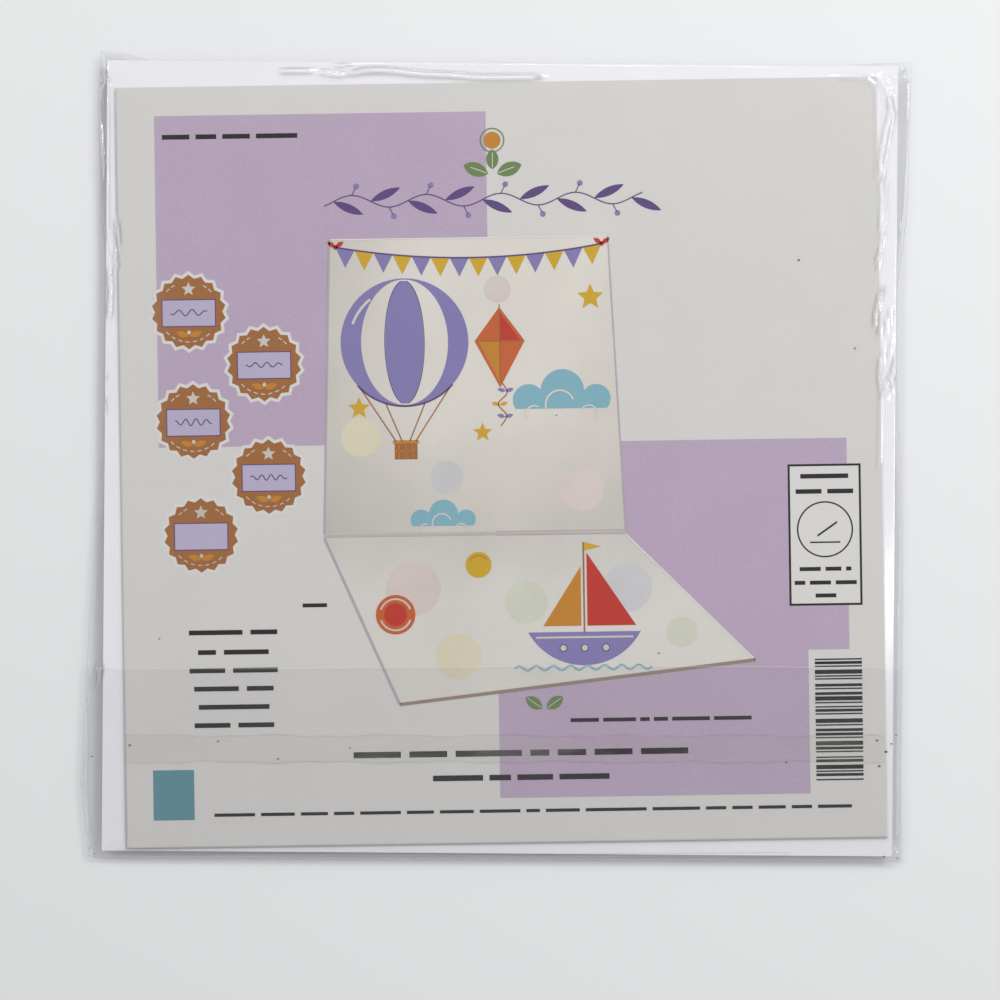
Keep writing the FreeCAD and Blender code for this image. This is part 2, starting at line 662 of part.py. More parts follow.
def flap_solid():
    """The flap: the film from the bottom edge, folded up over the front as far as its end."""
    rings = sleeve_rings(0)
    film, glue = size("film"), size("glue_thick")
    stops = [(side, place) for side, place, right, up in ring_stops()]
    start, stop = stops.index(("left", flap_place)), stops.index(("right", flap_place))
    order = list(range(start, len(stops))) + list(range(stop + 1))
    seam, shelf, top = [[ring[index] for index in order] for ring in rings[1:]]
    under = [seam, shelf, [(x, y, z + glue) for x, y, z in top]]
    over = [[(x, y, z + film) for x, y, z in ring] for ring in under]
    faces = [facet(list(reversed(under[2]))), facet(over[2])]
    for rows, flip in ((under, True), (over, False)):
        for low, high in zip(rows, rows[1:]):
            for index in range(len(order) - 1):
                pair = [[low[index], low[index + 1], high[index + 1]],
                        [low[index], high[index + 1], high[index]]]
                faces += [facet(points[::-1] if flip else points) for points in pair]
    for index in range(len(order) - 1):
        faces.append(facet([under[0][index], under[0][index + 1], over[0][index + 1], over[0][index]]))
    end_under = [under[row][-1] for row in range(3)] + [under[row][0] for row in (2, 1, 0)]
    end_over = [over[row][-1] for row in range(3)] + [over[row][0] for row in (2, 1, 0)]
    for index in range(5):
        faces.append(facet([end_under[index], end_under[index + 1], end_over[index + 1], end_over[index]]))
    return solid_of(faces)


def build_sleeve():
    """The clear bag with its flap, and the strip of glue under the flap."""
    sleeve = doc.addObject("Part::Feature", "clear_sleeve")
    sleeve.Label = "clear_sleeve"
    bag = pouch(0).cut(pouch(size("film")))
    sleeve.Shape = bag.fuse(flap_solid()).removeSplitter()
    pieces.append(sleeve)

    rings = sleeve_rings(0)
    top_z = rings[-1][0][2]
    insert = TurnedSquare(size("card_side"), size("insert_turn"), INSERT_AT, 0)
    upper = flap_end + ENVELOPE_AT[1] - size("glue_from_flap_end")
    lower = upper - size("glue_width")
    left = max(insert.level("left", upper)[0], insert.level("left", lower)[0])
    right = min(insert.level("right", upper)[0], insert.level("right", lower)[0])
    glue = doc.addObject("Part::Box", "adhesive_strip")
    glue.Label = "adhesive_strip"
    glue.Length = right - left
    glue.setExpression("Width", "Sizes.glue_width")
    glue.setExpression("Height", "Sizes.glue_thick")
    glue.Placement = FreeCAD.Placement(V(left, lower, top_z), FreeCAD.Rotation())
    pieces.append(glue)


build_card_cover()
build_popup()
build_envelope()
build_sticker_sheet()
build_insert()
build_print()
build_sleeve()
doc.recompute()

for item in doc.Objects:
    if "Invalid" in item.State or "Error" in item.State:
        raise RuntimeError(f"{item.Label} failed: {item.State}")
for piece in pieces:
    if piece.Shape.isNull() or not piece.Shape.isValid():
        raise RuntimeError(f"{piece.Label} has no valid shape")

os.makedirs("parts", exist_ok=True)
for piece in pieces:
    piece.Shape.exportStep(f"parts/{piece.Label}.step")
    bounds = piece.Shape.BoundBox
    print(f"{piece.Label}: {len(piece.Shape.Solids)} solids, {piece.Shape.Volume:.2f} mm3, "
          f"z {bounds.ZMin:.3f} to {bounds.ZMax:.3f}")
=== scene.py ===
"""Looks of the greeting card: paper, print, clear sleeve and studio, round the fixed CAD frame.

The card lies flat with its printed insert upwards and the camera looks straight down on it.
All lengths are in metres, unless a name ends in _mm.
"""
import json
import logging
import math
from dataclasses import dataclass, field
from enum import Enum
from typing import Callable, Optional, Sequence, Union

import bpy
import numpy as np
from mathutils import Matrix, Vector


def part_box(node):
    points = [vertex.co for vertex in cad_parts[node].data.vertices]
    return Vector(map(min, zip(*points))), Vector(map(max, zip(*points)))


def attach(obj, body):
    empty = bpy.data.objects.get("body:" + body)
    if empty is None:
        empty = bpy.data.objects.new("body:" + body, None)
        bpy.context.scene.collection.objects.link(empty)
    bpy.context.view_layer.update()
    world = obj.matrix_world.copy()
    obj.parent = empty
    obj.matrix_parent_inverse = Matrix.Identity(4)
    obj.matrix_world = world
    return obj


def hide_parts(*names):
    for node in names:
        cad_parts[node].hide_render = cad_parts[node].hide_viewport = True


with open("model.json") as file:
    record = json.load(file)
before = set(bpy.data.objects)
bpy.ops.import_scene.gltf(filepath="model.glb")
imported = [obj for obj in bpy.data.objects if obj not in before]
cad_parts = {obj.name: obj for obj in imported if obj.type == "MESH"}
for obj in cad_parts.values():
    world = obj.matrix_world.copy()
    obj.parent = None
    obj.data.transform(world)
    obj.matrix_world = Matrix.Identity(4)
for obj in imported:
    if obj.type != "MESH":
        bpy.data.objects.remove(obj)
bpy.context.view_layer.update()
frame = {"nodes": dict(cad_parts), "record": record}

logging.basicConfig(level=logging.INFO, format="%(message)s")
LOG = logging.getLogger("greeting_card")

MM = 0.001
TINY = 1e-9
ROOT = "root"
Point = tuple[float, float]
Colour = tuple[float, float, float]
Array = np.ndarray
Socket = bpy.types.NodeSocket
Value = Union[Socket, float, Sequence[float]]


def linear(colour: Colour) -> tuple[float, float, float, float]:
    """Turn a display colour of 0 to 255 into the linear colour that a shader takes.

    Args:
        colour: Red, green and blue as they show on a display.

    Returns:
        Red, green, blue and a full alpha.
    """
    shares = [value / 255 for value in colour]
    parts = [share / 12.92 if share <= 0.04045 else ((share + 0.055) / 1.055) ** 2.4 for share in shares]
    return (parts[0], parts[1], parts[2], 1.0)


def begin(primitive: Callable[..., set[str]], **sizes: object) -> bpy.types.Object:
    """Add a primitive with nothing else selected.

    Args:
        primitive: The operator that adds it.
        sizes: The operator's own values.

    Returns:
        The new object.
    """
    bpy.ops.object.select_all(action="DESELECT")
    primitive(**sizes)
    return bpy.context.object


def join(pieces: Sequence[bpy.types.Object], name: str) -> bpy.types.Object:
    """Join pieces into one.

    Args:
        pieces: The pieces.
        name: The name that the one gets.

    Returns:
        The joined piece.
    """
    bpy.ops.object.select_all(action="DESELECT")
    for piece in pieces:
        piece.select_set(True)
    bpy.context.view_layer.objects.active = pieces[0]
    bpy.ops.object.join()
    bpy.context.object.name = name
    return bpy.context.object


def seat(piece: bpy.types.Object, material: bpy.types.Material, node: str = "") -> None:
    """Dress a piece and let it ride on the part.

    Args:
        piece: The piece.
        material: Its material.
        node: The CAD node that it stands for, if it does.
    """
    piece.data.materials.clear()
    piece.data.materials.append(material)
    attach(piece, ROOT)
    if node:
        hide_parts(node)
    LOG.info("built %s, %d faces", piece.name, len(piece.data.polygons))


# Materials


class Lamp(Enum):
    """Each soft lamp: its place, the side of its square and its power in watts."""

    KEY = ((0.42, 0.46, 0.62), 0.22, 2.7)
    SIDE = ((0.62, 0.02, 0.6), 0.2, 1.3)
    TOP = ((0.02, 0.62, 0.6), 0.2, 1.2)
    LEFT = ((-0.55, 0.26, 0.7), 0.09, 1.2)


class Finish(Enum):
    """How a paper surface feels: its relief, and its lowest and highest roughness."""

    COATED = (0.12, 0.42, 0.56)
    PLAIN = (0.3, 0.72, 0.86)
    BOARD = (0.25, 0.6, 0.74)
    INK = (0.12, 0.4, 0.54)


@dataclass(frozen=True)
class Shade:
    """A soft printed shadow that fades from one place to another, in millimetres in plan."""

    start_mm: Point
    end_mm: Point
    depth: float


@dataclass(frozen=True)
class PaperLook:
    """A paper or ink colour with the fine variation that the real surface shows."""

    name: str
    colour: Colour
    speckle: float
    mottle: float
    finish: Finish = Finish.INK
    shades: tuple[Shade, ...] = ()


@dataclass(frozen=True)
class FilmLook:
    """A clear film, with how milky it is away from its creases."""

    name: str
    haze: float


class Wiring:
    """The nodes and links of one material or group."""

    def __init__(self, tree: bpy.types.NodeTree) -> None:
        """Start with an empty tree."""
        self.tree = tree
        tree.nodes.clear()

    def add(self, kind: str, inputs: Optional[dict[Union[str, int], Value]] = None,
            **settings: object) -> bpy.types.Node:
        """Add a node.

        Args:
            kind: Its type, without the words that every shader node's type starts with.
            inputs: Sockets, numbers or colours for its inputs, by name or place.
            settings: Its own settings.

        Returns:
            The node.
        """
        node = self.tree.nodes.new("ShaderNode" + kind)
        for name, value in settings.items():
            setattr(node, name, value)
        for name, value in (inputs or {}).items():
            if isinstance(value, Socket):
                self.tree.links.new(value, node.inputs[name])
            else:
                node.inputs[name].default_value = value
        return node

    def math(self, operation: str, first: Value, second: Value) -> Socket:
        """The result of a math node that takes sockets or numbers."""
        return self.add("Math", {0: first, 1: second}, operation=operation).outputs[0]

    def noise(self, place: Socket, scale: float, detail: float, roughness: float) -> Socket:
        """A noise with its cells a metre, its octaves and how strong the small ones are."""
        inputs = {"Vector": place, "Scale": scale, "Detail": detail, "Roughness": roughness}
        return self.add("TexNoise", inputs).outputs["Fac"]

    def spread(self, value: Socket, source: Point, result: Point, curve: str = "LINEAR") -> Socket:
        """A value carried over from one range to another."""
        limits = dict(zip(("From Min", "From Max", "To Min", "To Max"), (*source, *result)))
        return self.add("MapRange", {"Value": value, **limits}, interpolation_type=curve).outputs["Result"]

    def either(self, value: Socket, light: Colour, dark: Colour) -> Socket:
        """A light linear colour where a value is above nothing, and a dark one where it is below."""
        share = self.spread(value, (-0.02, 0.0), (0.0, 1.0))
        return self.add("Mix", {0: share, 6: (*dark, 1.0), 7: (*light, 1.0)}, data_type="RGBA").outputs[2]

    def mix(self, share: Socket, first: bpy.types.Node, second: bpy.types.Node) -> bpy.types.Node:
        """A mix of two shaders."""
        return self.add("MixShader", {0: share, 1: first.outputs[0], 2: second.outputs[0]})

    def surface(self, shader: bpy.types.Node) -> None:
        """Make a shader the material's surface."""
        self.add("OutputMaterial", {"Surface": shader.outputs[0]})


class NodeGroups:
    """Shader node groups that several materials share, each built once."""

    def __init__(self) -> None:
        """Build the groups."""
        self.grain = self._paper_grain()
        self.rub = self._film_rub()

    @staticmethod
    def _open(name: str, numbers: dict[str, float], results: Sequence[str]) -> tuple[
            Wiring, bpy.types.NodeOutputs, bpy.types.NodeInputs]:
        """Start a group that reads a position.

        Args:
            name: Its name.
            numbers: Its float inputs and their defaults.
            results: Its float outputs.

        Returns:
            Its wiring, the sockets that give its inputs and those that take its outputs.
        """
        tree = bpy.data.node_groups.new(name, "ShaderNodeTree")
        tree.interface.new_socket("Position", in_out="INPUT", socket_type="NodeSocketVector")
        for number, value in numbers.items():
            socket = tree.interface.new_socket(number, in_out="INPUT", socket_type="NodeSocketFloat")
            socket.default_value = value
        for result in results:
            tree.interface.new_socket(result, in_out="OUTPUT", socket_type="NodeSocketFloat")
        wires = Wiring(tree)
        return wires, tree.nodes.new("NodeGroupInput").outputs, tree.nodes.new("NodeGroupOutput").inputs

    def _paper_grain(self) -> bpy.types.NodeTree:
        """Speckle of the print's dots, cloudy mottling and the fibres' fine relief.

        Returns:
            The group, with a brightness factor and a height.
        """
        numbers = {"Speckle": 0.05, "Mottle": 0.03}
        wires, given, made = self._open("paper_grain", numbers, ("Factor", "Height"))
        factor: Value = 1.0
        for name, scale, detail, roughness in (("Speckle", 2600.0, 2.0, 0.6), ("Mottle", 70.0, 3.0, 0.55)):
            cloud = wires.math("SUBTRACT", wires.noise(given["Position"], scale, detail, roughness), 0.5)
            cloud = wires.math("MULTIPLY", cloud, given[name])
            factor = wires.math("ADD", factor, wires.math("MULTIPLY", cloud, 2.0))
        wires.tree.links.new(factor, made["Factor"])
        wires.tree.links.new(wires.noise(given["Position"], 900.0, 4.0, 0.7), made["Height"])
        return wires.tree

    def _film_rub(self) -> bpy.types.NodeTree:
        """Faint rubbed clouds on clear film.

        Returns:
            The group, with one mask.
        """
        wires, given, made = self._open("film_rub", {"Cloud": 0.02}, ("Mask",))
        cloud = wires.noise(given["Position"], 60.0, 1.0, 0.5)
        wires.tree.links.new(wires.math("MULTIPLY", cloud, given["Cloud"]), made["Mask"])
        return wires.tree


class Materials:
    """Builds the paper, film and studio materials."""

    relief_depth = 0.04 * MM
    film_index = 1.5
    film_roughness = 0.1
    most_milk = 0.85
    floor_colour = (226, 227, 228)
    glow_zone = (0.2, 1.5)
    most_glow = 0.4

    def __init__(self) -> None:
        """Build the shared groups first."""
        self.groups = NodeGroups()

    @staticmethod
    def _blank(name: str) -> tuple[bpy.types.Material, Wiring, Socket]:
        """Start a material.

        Args:
            name: Its name.

        Returns:
            The material, its wiring and the Object coordinates.
        """
        material = bpy.data.materials.new(name)
        material.use_nodes = True
        wires = Wiring(material.node_tree)
        return material, wires, wires.add("TexCoord").outputs["Object"]

    def paper(self, look: PaperLook) -> bpy.types.Material:
        """A paper or printed paper surface.

        Args:
            look: Its colour and variation.

        Returns:
            The material.
        """
        material, wires, place = self._blank(look.name)
        grain = wires.add("Group", {"Speckle": look.speckle, "Mottle": look.mottle, "Position": place},
                          node_tree=self.groups.grain).outputs
        factor = grain["Factor"]
        for shade in look.shades:
            factor = wires.math("MULTIPLY", factor, self._fade(wires, place, shade))
        tint = wires.add("VectorMath", {0: linear(look.colour)[:3], "Scale": factor}, operation="SCALE")
        relief, low, high = look.finish.value
        bump = wires.add("Bump", {
            "Strength": relief, "Distance": self.relief_depth, "Height": grain["Height"]})
        wires.surface(wires.add("BsdfPrincipled", {
            "Base Color": tint.outputs[0], "Normal": bump.outputs["Normal"], "Specular IOR Level": 0.3,
            "Roughness": wires.spread(grain["Height"], (0.0, 1.0), (low, high))}))
        return material

    @staticmethod
    def _fade(wires: Wiring, place: Socket, shade: Shade) -> Socket:
        """A factor that darkens a surface towards one side.

        Args:
            wires: The material's wiring.
            place: The coordinates.
            shade: Where the shadow starts and ends.

        Returns:
            The factor.
        """
        start = Vector((*shade.start_mm, 0.0)) * MM
        run = Vector((*shade.end_mm, 0.0)) * MM - start
        reach = run.normalized()
        way = wires.add("VectorMath", {0: place, 1: reach}, operation="DOT_PRODUCT").outputs["Value"]
        near = start.dot(reach)
        return wires.spread(way, (near, near + run.length), (1 - shade.depth, 1.0), "SMOOTHSTEP")

    def film(self, look: FilmLook) -> bpy.types.Material:
        """Clear gloss film: painted highlights on creases, painted shade on flanks that bend the light away.

        Args:
            look: Its name and haze.

        Returns:
            The material.
        """
        material, wires, place = self._blank(look.name)
        clear = wires.add("BsdfTransparent", {"Color": (0.985, 0.988, 0.99, 1.0)})
        gloss = wires.add("BsdfGlossy", {"Roughness": self.film_roughness})
        side = wires.add("NewGeometry").outputs["Backfacing"]
        index = wires.math("MULTIPLY", side, 1 / self.film_index - self.film_index)
        edge = wires.add("Fresnel", {"IOR": wires.math("ADD", index, self.film_index)})
        mirror = wires.mix(edge.outputs[0], clear, gloss)
        # The crease attribute holds painted light: highlights and soft reflections above nothing, shade below
        # it.
        crease = wires.add("Attribute", attribute_name="crease").outputs["Fac"]
        milk = wires.add("BsdfPrincipled", {
            "Roughness": 0.25, "Base Color": wires.either(crease, (0.92, 0.93, 0.94), (0.3, 0.31, 0.32))})
        rub = wires.add("Group", {"Cloud": look.haze, "Position": place}, node_tree=self.groups.rub)
        mask = wires.math("ADD", wires.math("ABSOLUTE", crease, 0.0), rub.outputs["Mask"])
        wires.surface(wires.mix(wires.math("MINIMUM", mask, self.most_milk), mirror, milk))
        return material

    def glue(self) -> bpy.types.Material:
        """The faint smudged band of glue under the flap, with a thin darker edge.

        Returns:
            The material.
        """
        material, wires, place = self._blank("glue_haze")
        clear = wires.add("BsdfTransparent", {"Color": (0.988, 0.985, 0.974, 1.0)})
        edge = wires.add("Attribute", attribute_name="crease").outputs["Fac"]
        milk = wires.add("BsdfPrincipled", {
            "Roughness": 0.5, "Base Color": wires.either(edge, (0.76, 0.75, 0.71), (0.3, 0.29, 0.27))})
        stretch = wires.add("Mapping", {"Vector": place, "Scale": (0.6, 3.4, 1.0)})
        smear = wires.noise(stretch.outputs["Vector"], 95.0, 5.0, 0.65)
        smear = wires.spread(smear, (0.36, 0.72), (0.0, 0.13))
        wires.surface(wires.mix(wires.math("SUBTRACT", smear, edge), clear, milk))
        return material

    def ground(self) -> bpy.types.Material:
        """The plain pale floor, which stays pale far from the lamps in a low view.

        Returns:
            The material.
        """
        material, wires, place = self._blank("studio_floor")
        far = wires.add("VectorMath", {0: place}, operation="LENGTH").outputs["Value"]
        glow = wires.spread(far, self.glow_zone, (0.0, self.most_glow), "SMOOTHSTEP")
        ray = wires.add("LightPath").outputs
        seen = wires.math("ADD", ray["Is Camera Ray"], ray["Is Glossy Ray"])
        seen = wires.math("ADD", seen, ray["Is Transmission Ray"])
        wires.surface(wires.add("BsdfPrincipled", {
            "Roughness": 0.9, "Base Color": linear(self.floor_colour), "Emission Color": (1.0, 1.0, 1.0, 1.0),
            "Emission Strength": wires.math("MULTIPLY", seen, glow)}))
        return material


# The sheets and prints, which keep their CAD form and get a finish

PRINTED_SHADES = {
    "ink_cream": (Shade((-37.0, 10.0), (-12.0, 10.0), 0.16), Shade((0.0, -17.0), (-1.0, 14.0), 0.14),
                  Shade((28.0, 20.0), (12.0, 24.0), 0.07)),
    "ink_floor_cream": (Shade((0.0, -14.0), (0.0, -32.0), 0.12),),
}
INKS = {
    "sticker_face": ((156, 106, 58), 0.1, 0.04), "ink_lilac": ((181, 162, 184), 0.16, 0.05),
    "ink_teal": ((88, 138, 151), 0.12, 0.04), "ink_cream": ((216, 211, 203), 0.05, 0.08),
    "ink_floor_cream": ((212, 207, 201), 0.05, 0.09), "ink_white": ((214, 212, 209), 0.03, 0.03),
    "ink_dark": ((22, 15, 24), 0.25, 0.05), "ink_title": ((88, 64, 120), 0.12, 0.04),
    "ink_pale_yellow": ((212, 204, 180), 0.06, 0.14), "ink_pale_pink": ((207, 195, 190), 0.06, 0.14),
    "ink_pale_blue": ((198, 197, 200), 0.06, 0.14), "ink_pale_green": ((200, 202, 187), 0.06, 0.14),
    "ink_brown": ((156, 100, 50), 0.2, 0.08), "ink_violet": ((128, 119, 170), 0.14, 0.06),
    "ink_sky_blue": ((126, 172, 186), 0.12, 0.06), "ink_orange": ((192, 92, 42), 0.16, 0.06),
    "ink_yellow": ((200, 160, 32), 0.14, 0.06), "ink_green": ((104, 128, 78), 0.14, 0.06),
    "ink_red": ((186, 48, 32), 0.14, 0.06), "ink_ochre": ((190, 126, 34), 0.16, 0.06),
    "ink_label": ((180, 170, 196), 0.1, 0.05), "shade_cool": ((172, 166, 174), 0.1, 0.1),
    "shade_warm": ((186, 178, 170), 0.1, 0.1), "shade_light": ((226, 223, 218), 0.05, 0.05),
    "shade_brown": ((146, 128, 114), 0.12, 0.1),
}
LOOKS: dict[str, PaperLook] = {
    name: PaperLook(name, *ink, shades=PRINTED_SHADES.get(name, ())) for name, ink in INKS.items()}
LOOKS.update({
    "insert_paper": PaperLook("coated_paper", (209, 206, 203), 0.03, 0.03, Finish.COATED),
    "envelope_paper": PaperLook("envelope_paper", (236, 234, 238), 0.04, 0.03, Finish.PLAIN),
    "cover_board": PaperLook("cover_board", (178, 162, 190), 0.08, 0.04, Finish.BOARD),
    "popup_board": PaperLook("popup_board", (218, 216, 210), 0.03, 0.03, Finish.BOARD),
    "backing_paper": PaperLook("backing_paper", (206, 205, 198), 0.03, 0.03, Finish.COATED),
    "dust": PaperLook("dust", (84, 76, 70), 0.3, 0.2, Finish.PLAIN),
})
BAG_FILM = FilmLook("clear_film", 0.006)
FLAP_FILM = FilmLook("clear_flap_film", 0.014)


@dataclass
class PaperStack:
    """The sheets and the print, which keep their CAD form."""

    materials: Materials
    made: dict[str, bpy.types.Material] = field(default_factory=dict)

    def look(self, slot: str) -> bpy.types.Material:
        """The material of a slot, built when it is first asked for.

        Args:
            slot: The record's material slot.

        Returns:
            The material.
        """
        if slot not in self.made:
            self.made[slot] = self.materials.paper(LOOKS[slot])
        return self.made[slot]

    def dress(self) -> None:
        """Give each paper node its slot's material."""
        for part in frame["record"]["subparts"]:
            if part["material_slot"] in LOOKS:
                mesh = frame["nodes"][part["node"]].data
                mesh.materials.clear()
                mesh.materials.append(self.look(part["material_slot"]))
                LOG.info("dressed %s", part["node"])


def corners_of(node: str) -> tuple[Array, Array, Array]:
    """The lower left, lower right and upper left corners in plan of a nearly upright square node.

    Args:
        node: The CAD node.

    Returns:
        The three corners.
    """
    points = np.array([v.co[:2] for v in frame["nodes"][node].data.vertices])
    lean = points[:, 0] - points[:, 1]
    return points[points.sum(1).argmin()], points[lean.argmax()], points[lean.argmin()]


class Sheet:
    """A flat square sheet in the stack, as the film over it meets it."""

    def __init__(self, node: str) -> None:
        """Read the sheet's place from its CAD node.

        Args:
            node: The CAD node.
        """
        left, right, top = corners_of(node)
        side = np.linalg.norm(right - left)
        self.centre = (right + top) / 2
        self.along = (right - left) / side
        self.half = side / 2
        self.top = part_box(node)[1].z

    def outside(self, x: Array, y: Array) -> Array:
        """How far points lie outside the sheet, less than nothing inside it.

        Args:
            x: Places to the right.
            y: Places up.

        Returns:
            The signed distances.
        """
        across, up = x - self.centre[0], y - self.centre[1]
        a = np.abs(across * self.along[0] + up * self.along[1]) - self.half
        b = np.abs(-across * self.along[1] + up * self.along[0]) - self.half
        beyond = np.hypot(np.maximum(a, 0), np.maximum(b, 0))
        return np.where(np.maximum(a, b) > 0, beyond, np.maximum(a, b))


# The fine lines and dots of the print

BADGES = ((9.2, 70.4), (19.0, 63.4), (9.6, 56.0), (19.4, 48.6), (10.4, 41.0))
PEN_HEIGHTS = (0.42, 0.34, 0.46, 0.38)
STITCHES = (41, 53, 117, 129, 221, 235, 249, 263, 277, 291, 305)
BACK_PANEL = ((26.6, 41.0), (66.2, 41.0), (64.4, 79.6), (27.8, 79.6))
FLOOR_PANEL = ((26.6, 40.4), (36.2, 18.4), (83.0, 23.6), (66.2, 40.4))
CLOUD_CURLS = ((-0.2, 0.5, 1.9, 20, 200, 0.2), (-3.6, -0.7, 1.1, 60, 220, 0.18),
               (3.6, -0.7, 1.1, -40, 140, 0.18))
BALLOON = (37.5, 66.0)
BALLOON_RADIUS = 8.4


def smooth(points: Sequence[Point], steps: int = 6) -> list[Point]:
    """A smooth line through a few points.

    Args:
        points: The points.
        steps: New points for each stretch.

    Returns:
        The line's points.
    """
    line = [np.array(point) for point in (points[0], *points, points[-1])]
    out = []
    for before, start, end, after in zip(line, line[1:], line[2:], line[3:]):
        for share in np.arange(steps) / steps:
            out.append(0.5 * (2 * start + (end - before) * share
                              + (2 * before - 5 * start + 4 * end - after) * share ** 2
                              + (3 * start - before - 3 * end + after) * share ** 3))
    out.append(line[-1])
    return [(float(point[0]), float(point[1])) for point in out]


def arc(centre: Point, radius: float, start: float, end: float, steps: int = 10) -> list[Point]:
    """Points on part of a circle between two angles in degrees."""
    angles = np.radians(np.linspace(start, end, steps + 1))
    return [(centre[0] + radius * math.cos(turn), centre[1] + radius * math.sin(turn)) for turn in angles]


def on_circle(centre: Point, radius: float, turn: float) -> Point:
    """The point of a circle at an angle in degrees."""
    return arc(centre, radius, turn, turn, 0)[0]


@dataclass
class PrintDetails:
    """Lines and dots on the insert, in hundredths of its side from its lower left corner."""

    stack: PaperStack
    lift: float = 0.003 * MM
    thick: float = 0.006 * MM
    drawn: dict[str, list[bpy.types.Object]] = field(default_factory=dict)

    def __post_init__(self) -> None:
        """Read where the insert and the top of its print are."""
        self.sheet = Sheet("insert_sheet")
        self.unit = 2 * self.sheet.half / 100
        self.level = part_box("print_stripe")[1].z + self.lift

    def _at(self, point: Point) -> Point:
        """Where a point of the insert's layout lies.

        Args:
            point: Hundredths of the side from the lower left corner.

        Returns:
            The place in metres.
        """
        across, up = (point[0] - 50) * self.unit, (point[1] - 50) * self.unit
        along = self.sheet.along
        return (self.sheet.centre[0] + across * along[0] - up * along[1],
                self.sheet.centre[1] + across * along[1] + up * along[0])

    def line(self, ink: str, points: Sequence[Point], width: float) -> None:
        """Draw a line.

        Args:
            ink: The look it has.
            points: The line's points.
            width: Its width.
        """
        steps = len(points) - 1
        strip = begin(bpy.ops.mesh.primitive_grid_add, x_subdivisions=steps, y_subdivisions=1, size=2.0)
        places = np.array([self._at(point) for point in points])
        run = np.gradient(places, axis=0)
        across = np.stack([-run[:, 1], run[:, 0]], 1) / np.linalg.norm(run, axis=1)[:, None]
        for vertex in strip.data.vertices:
            step = round((vertex.co.x + 1) / 2 * steps)
            spot = places[step] + across[step] * (0.5 * width * self.unit * (1 if vertex.co.y > 0 else -1))
            vertex.co = (spot[0], spot[1], self.level)
        self.drawn.setdefault(ink, []).append(strip)

    def patch(self, ink: str, points: Sequence[Point]) -> None:
        """Fill an outline.

        Args:
            ink: The look it has.
            points: The outline's points, going round leftwards.
        """
        face = begin(bpy.ops.mesh.primitive_circle_add, vertices=len(points), fill_type="NGON")
        for vertex, point in zip(face.data.vertices, points):
            vertex.co = (*self._at(point), self.level)
        self.drawn.setdefault(ink, []).append(face)

    def dot(self, ink: str, centre: Point, radius: float) -> None:
        """Fill a round dot."""
        self.patch(ink, arc(centre, radius, 0, 345, 23))

    def ring(self, ink: str, centre: Point, radius: float, width: float) -> None:
        """Draw a thin ring."""
        self.line(ink, arc(centre, radius, 0, 360, 24), width)

    def leaf(self, ink: str, start: Point, length: float, wide: float, turn: float) -> None:
        """Fill a pointed leaf.

        Args:
            ink: The look it has.
            start: The end of its stalk.
            length: Its length.
            wide: Half of its width.
            turn: Its direction in degrees.
        """
        along = (math.cos(math.radians(turn)), math.sin(math.radians(turn)))
        shares = np.linspace(0, 1, 8)
        sides = [(length * share, -wide * math.sin(math.pi * share)) for share in shares]
        sides += [(length * share, wide * math.sin(math.pi * share)) for share in shares[-2:0:-1]]
        self.patch(ink, [(start[0] + a * along[0] - b * along[1], start[1] + a * along[1] + b * along[0])
                         for a, b in sides])

    def bow(self, ink: str, knot: Point, length: float, wide: float, turn: float) -> None:
        """Fill two like leaves, one to each side of a knot."""
        self.leaf(ink, knot, length, wide, turn)
        self.leaf(ink, knot, length, wide, 180 - turn)

    def _picture(self) -> None:
        """The edges and folds of the printed picture, as thin shades."""
        back, floor = BACK_PANEL, FLOOR_PANEL
        for shade, start, end, width in (
                ("cool", back[0], back[3], 0.24), ("light", back[3], back[2], 0.14),
                ("cool", back[1], back[2], 0.16), ("warm", (26.6, 40.7), (66.2, 40.7), 0.4),
                ("cool", floor[0], floor[1], 0.3), ("brown", floor[1], floor[2], 0.42),
                ("light", floor[2], floor[3], 0.16)):
            self.line(f"shade_{shade}", (start, end), width)

    def _balloon(self) -> None:
        """Its ropes, basket, seams and shine."""
        x, y = BALLOON
        for angle, foot in ((226, -1.3), (252, -0.5), (288, 0.5), (314, 1.3)):
            start = on_circle(BALLOON, BALLOON_RADIUS, angle)
            self.line("ink_brown", (start, (x + foot, y - 13.0)), 0.15)
        self.line("ink_ochre", ((x - 1.7, y - 13.1), (x + 1.7, y - 13.1)), 0.42)
        for shift in (-0.9, 0.0, 0.9):
            self.line("ink_ochre", ((x + shift, y - 15.3), (x + shift, y - 13.3)), 0.12)
        self.line("ink_ochre", ((x - 1.4, y - 14.3), (x + 1.4, y - 14.3)), 0.12)
        self.line("ink_cream", arc(BALLOON, BALLOON_RADIUS * 0.86, 128, 160), 0.34)
        self.line("ink_title", arc(BALLOON, BALLOON_RADIUS, 222, 318, 24), 0.22)
        for side in (2.6, -2.6):
            seam = [(x + side * math.cos(a), y + 8.1 * math.sin(a)) for a in np.linspace(-1.45, 1.45, 24)]
            self.line("ink_title", seam, 0.1)

    def _bunting(self) -> None:
        """The string that carries the pennants, with a bow at each end."""
        start, length, height = 28.6, 35.0, 78.6
        shares = np.linspace(0, 1, 25)
        string = [(start + length * share, height - 1.6 * (1 - (2 * share - 1) ** 2)) for share in shares]
        self.line("ink_title", string, 0.2)
        for x in (start, start + length):
            self.bow("ink_red", (x, height), 1.3, 0.3, 35)
            self.dot("ink_red", (x, height), 0.3)

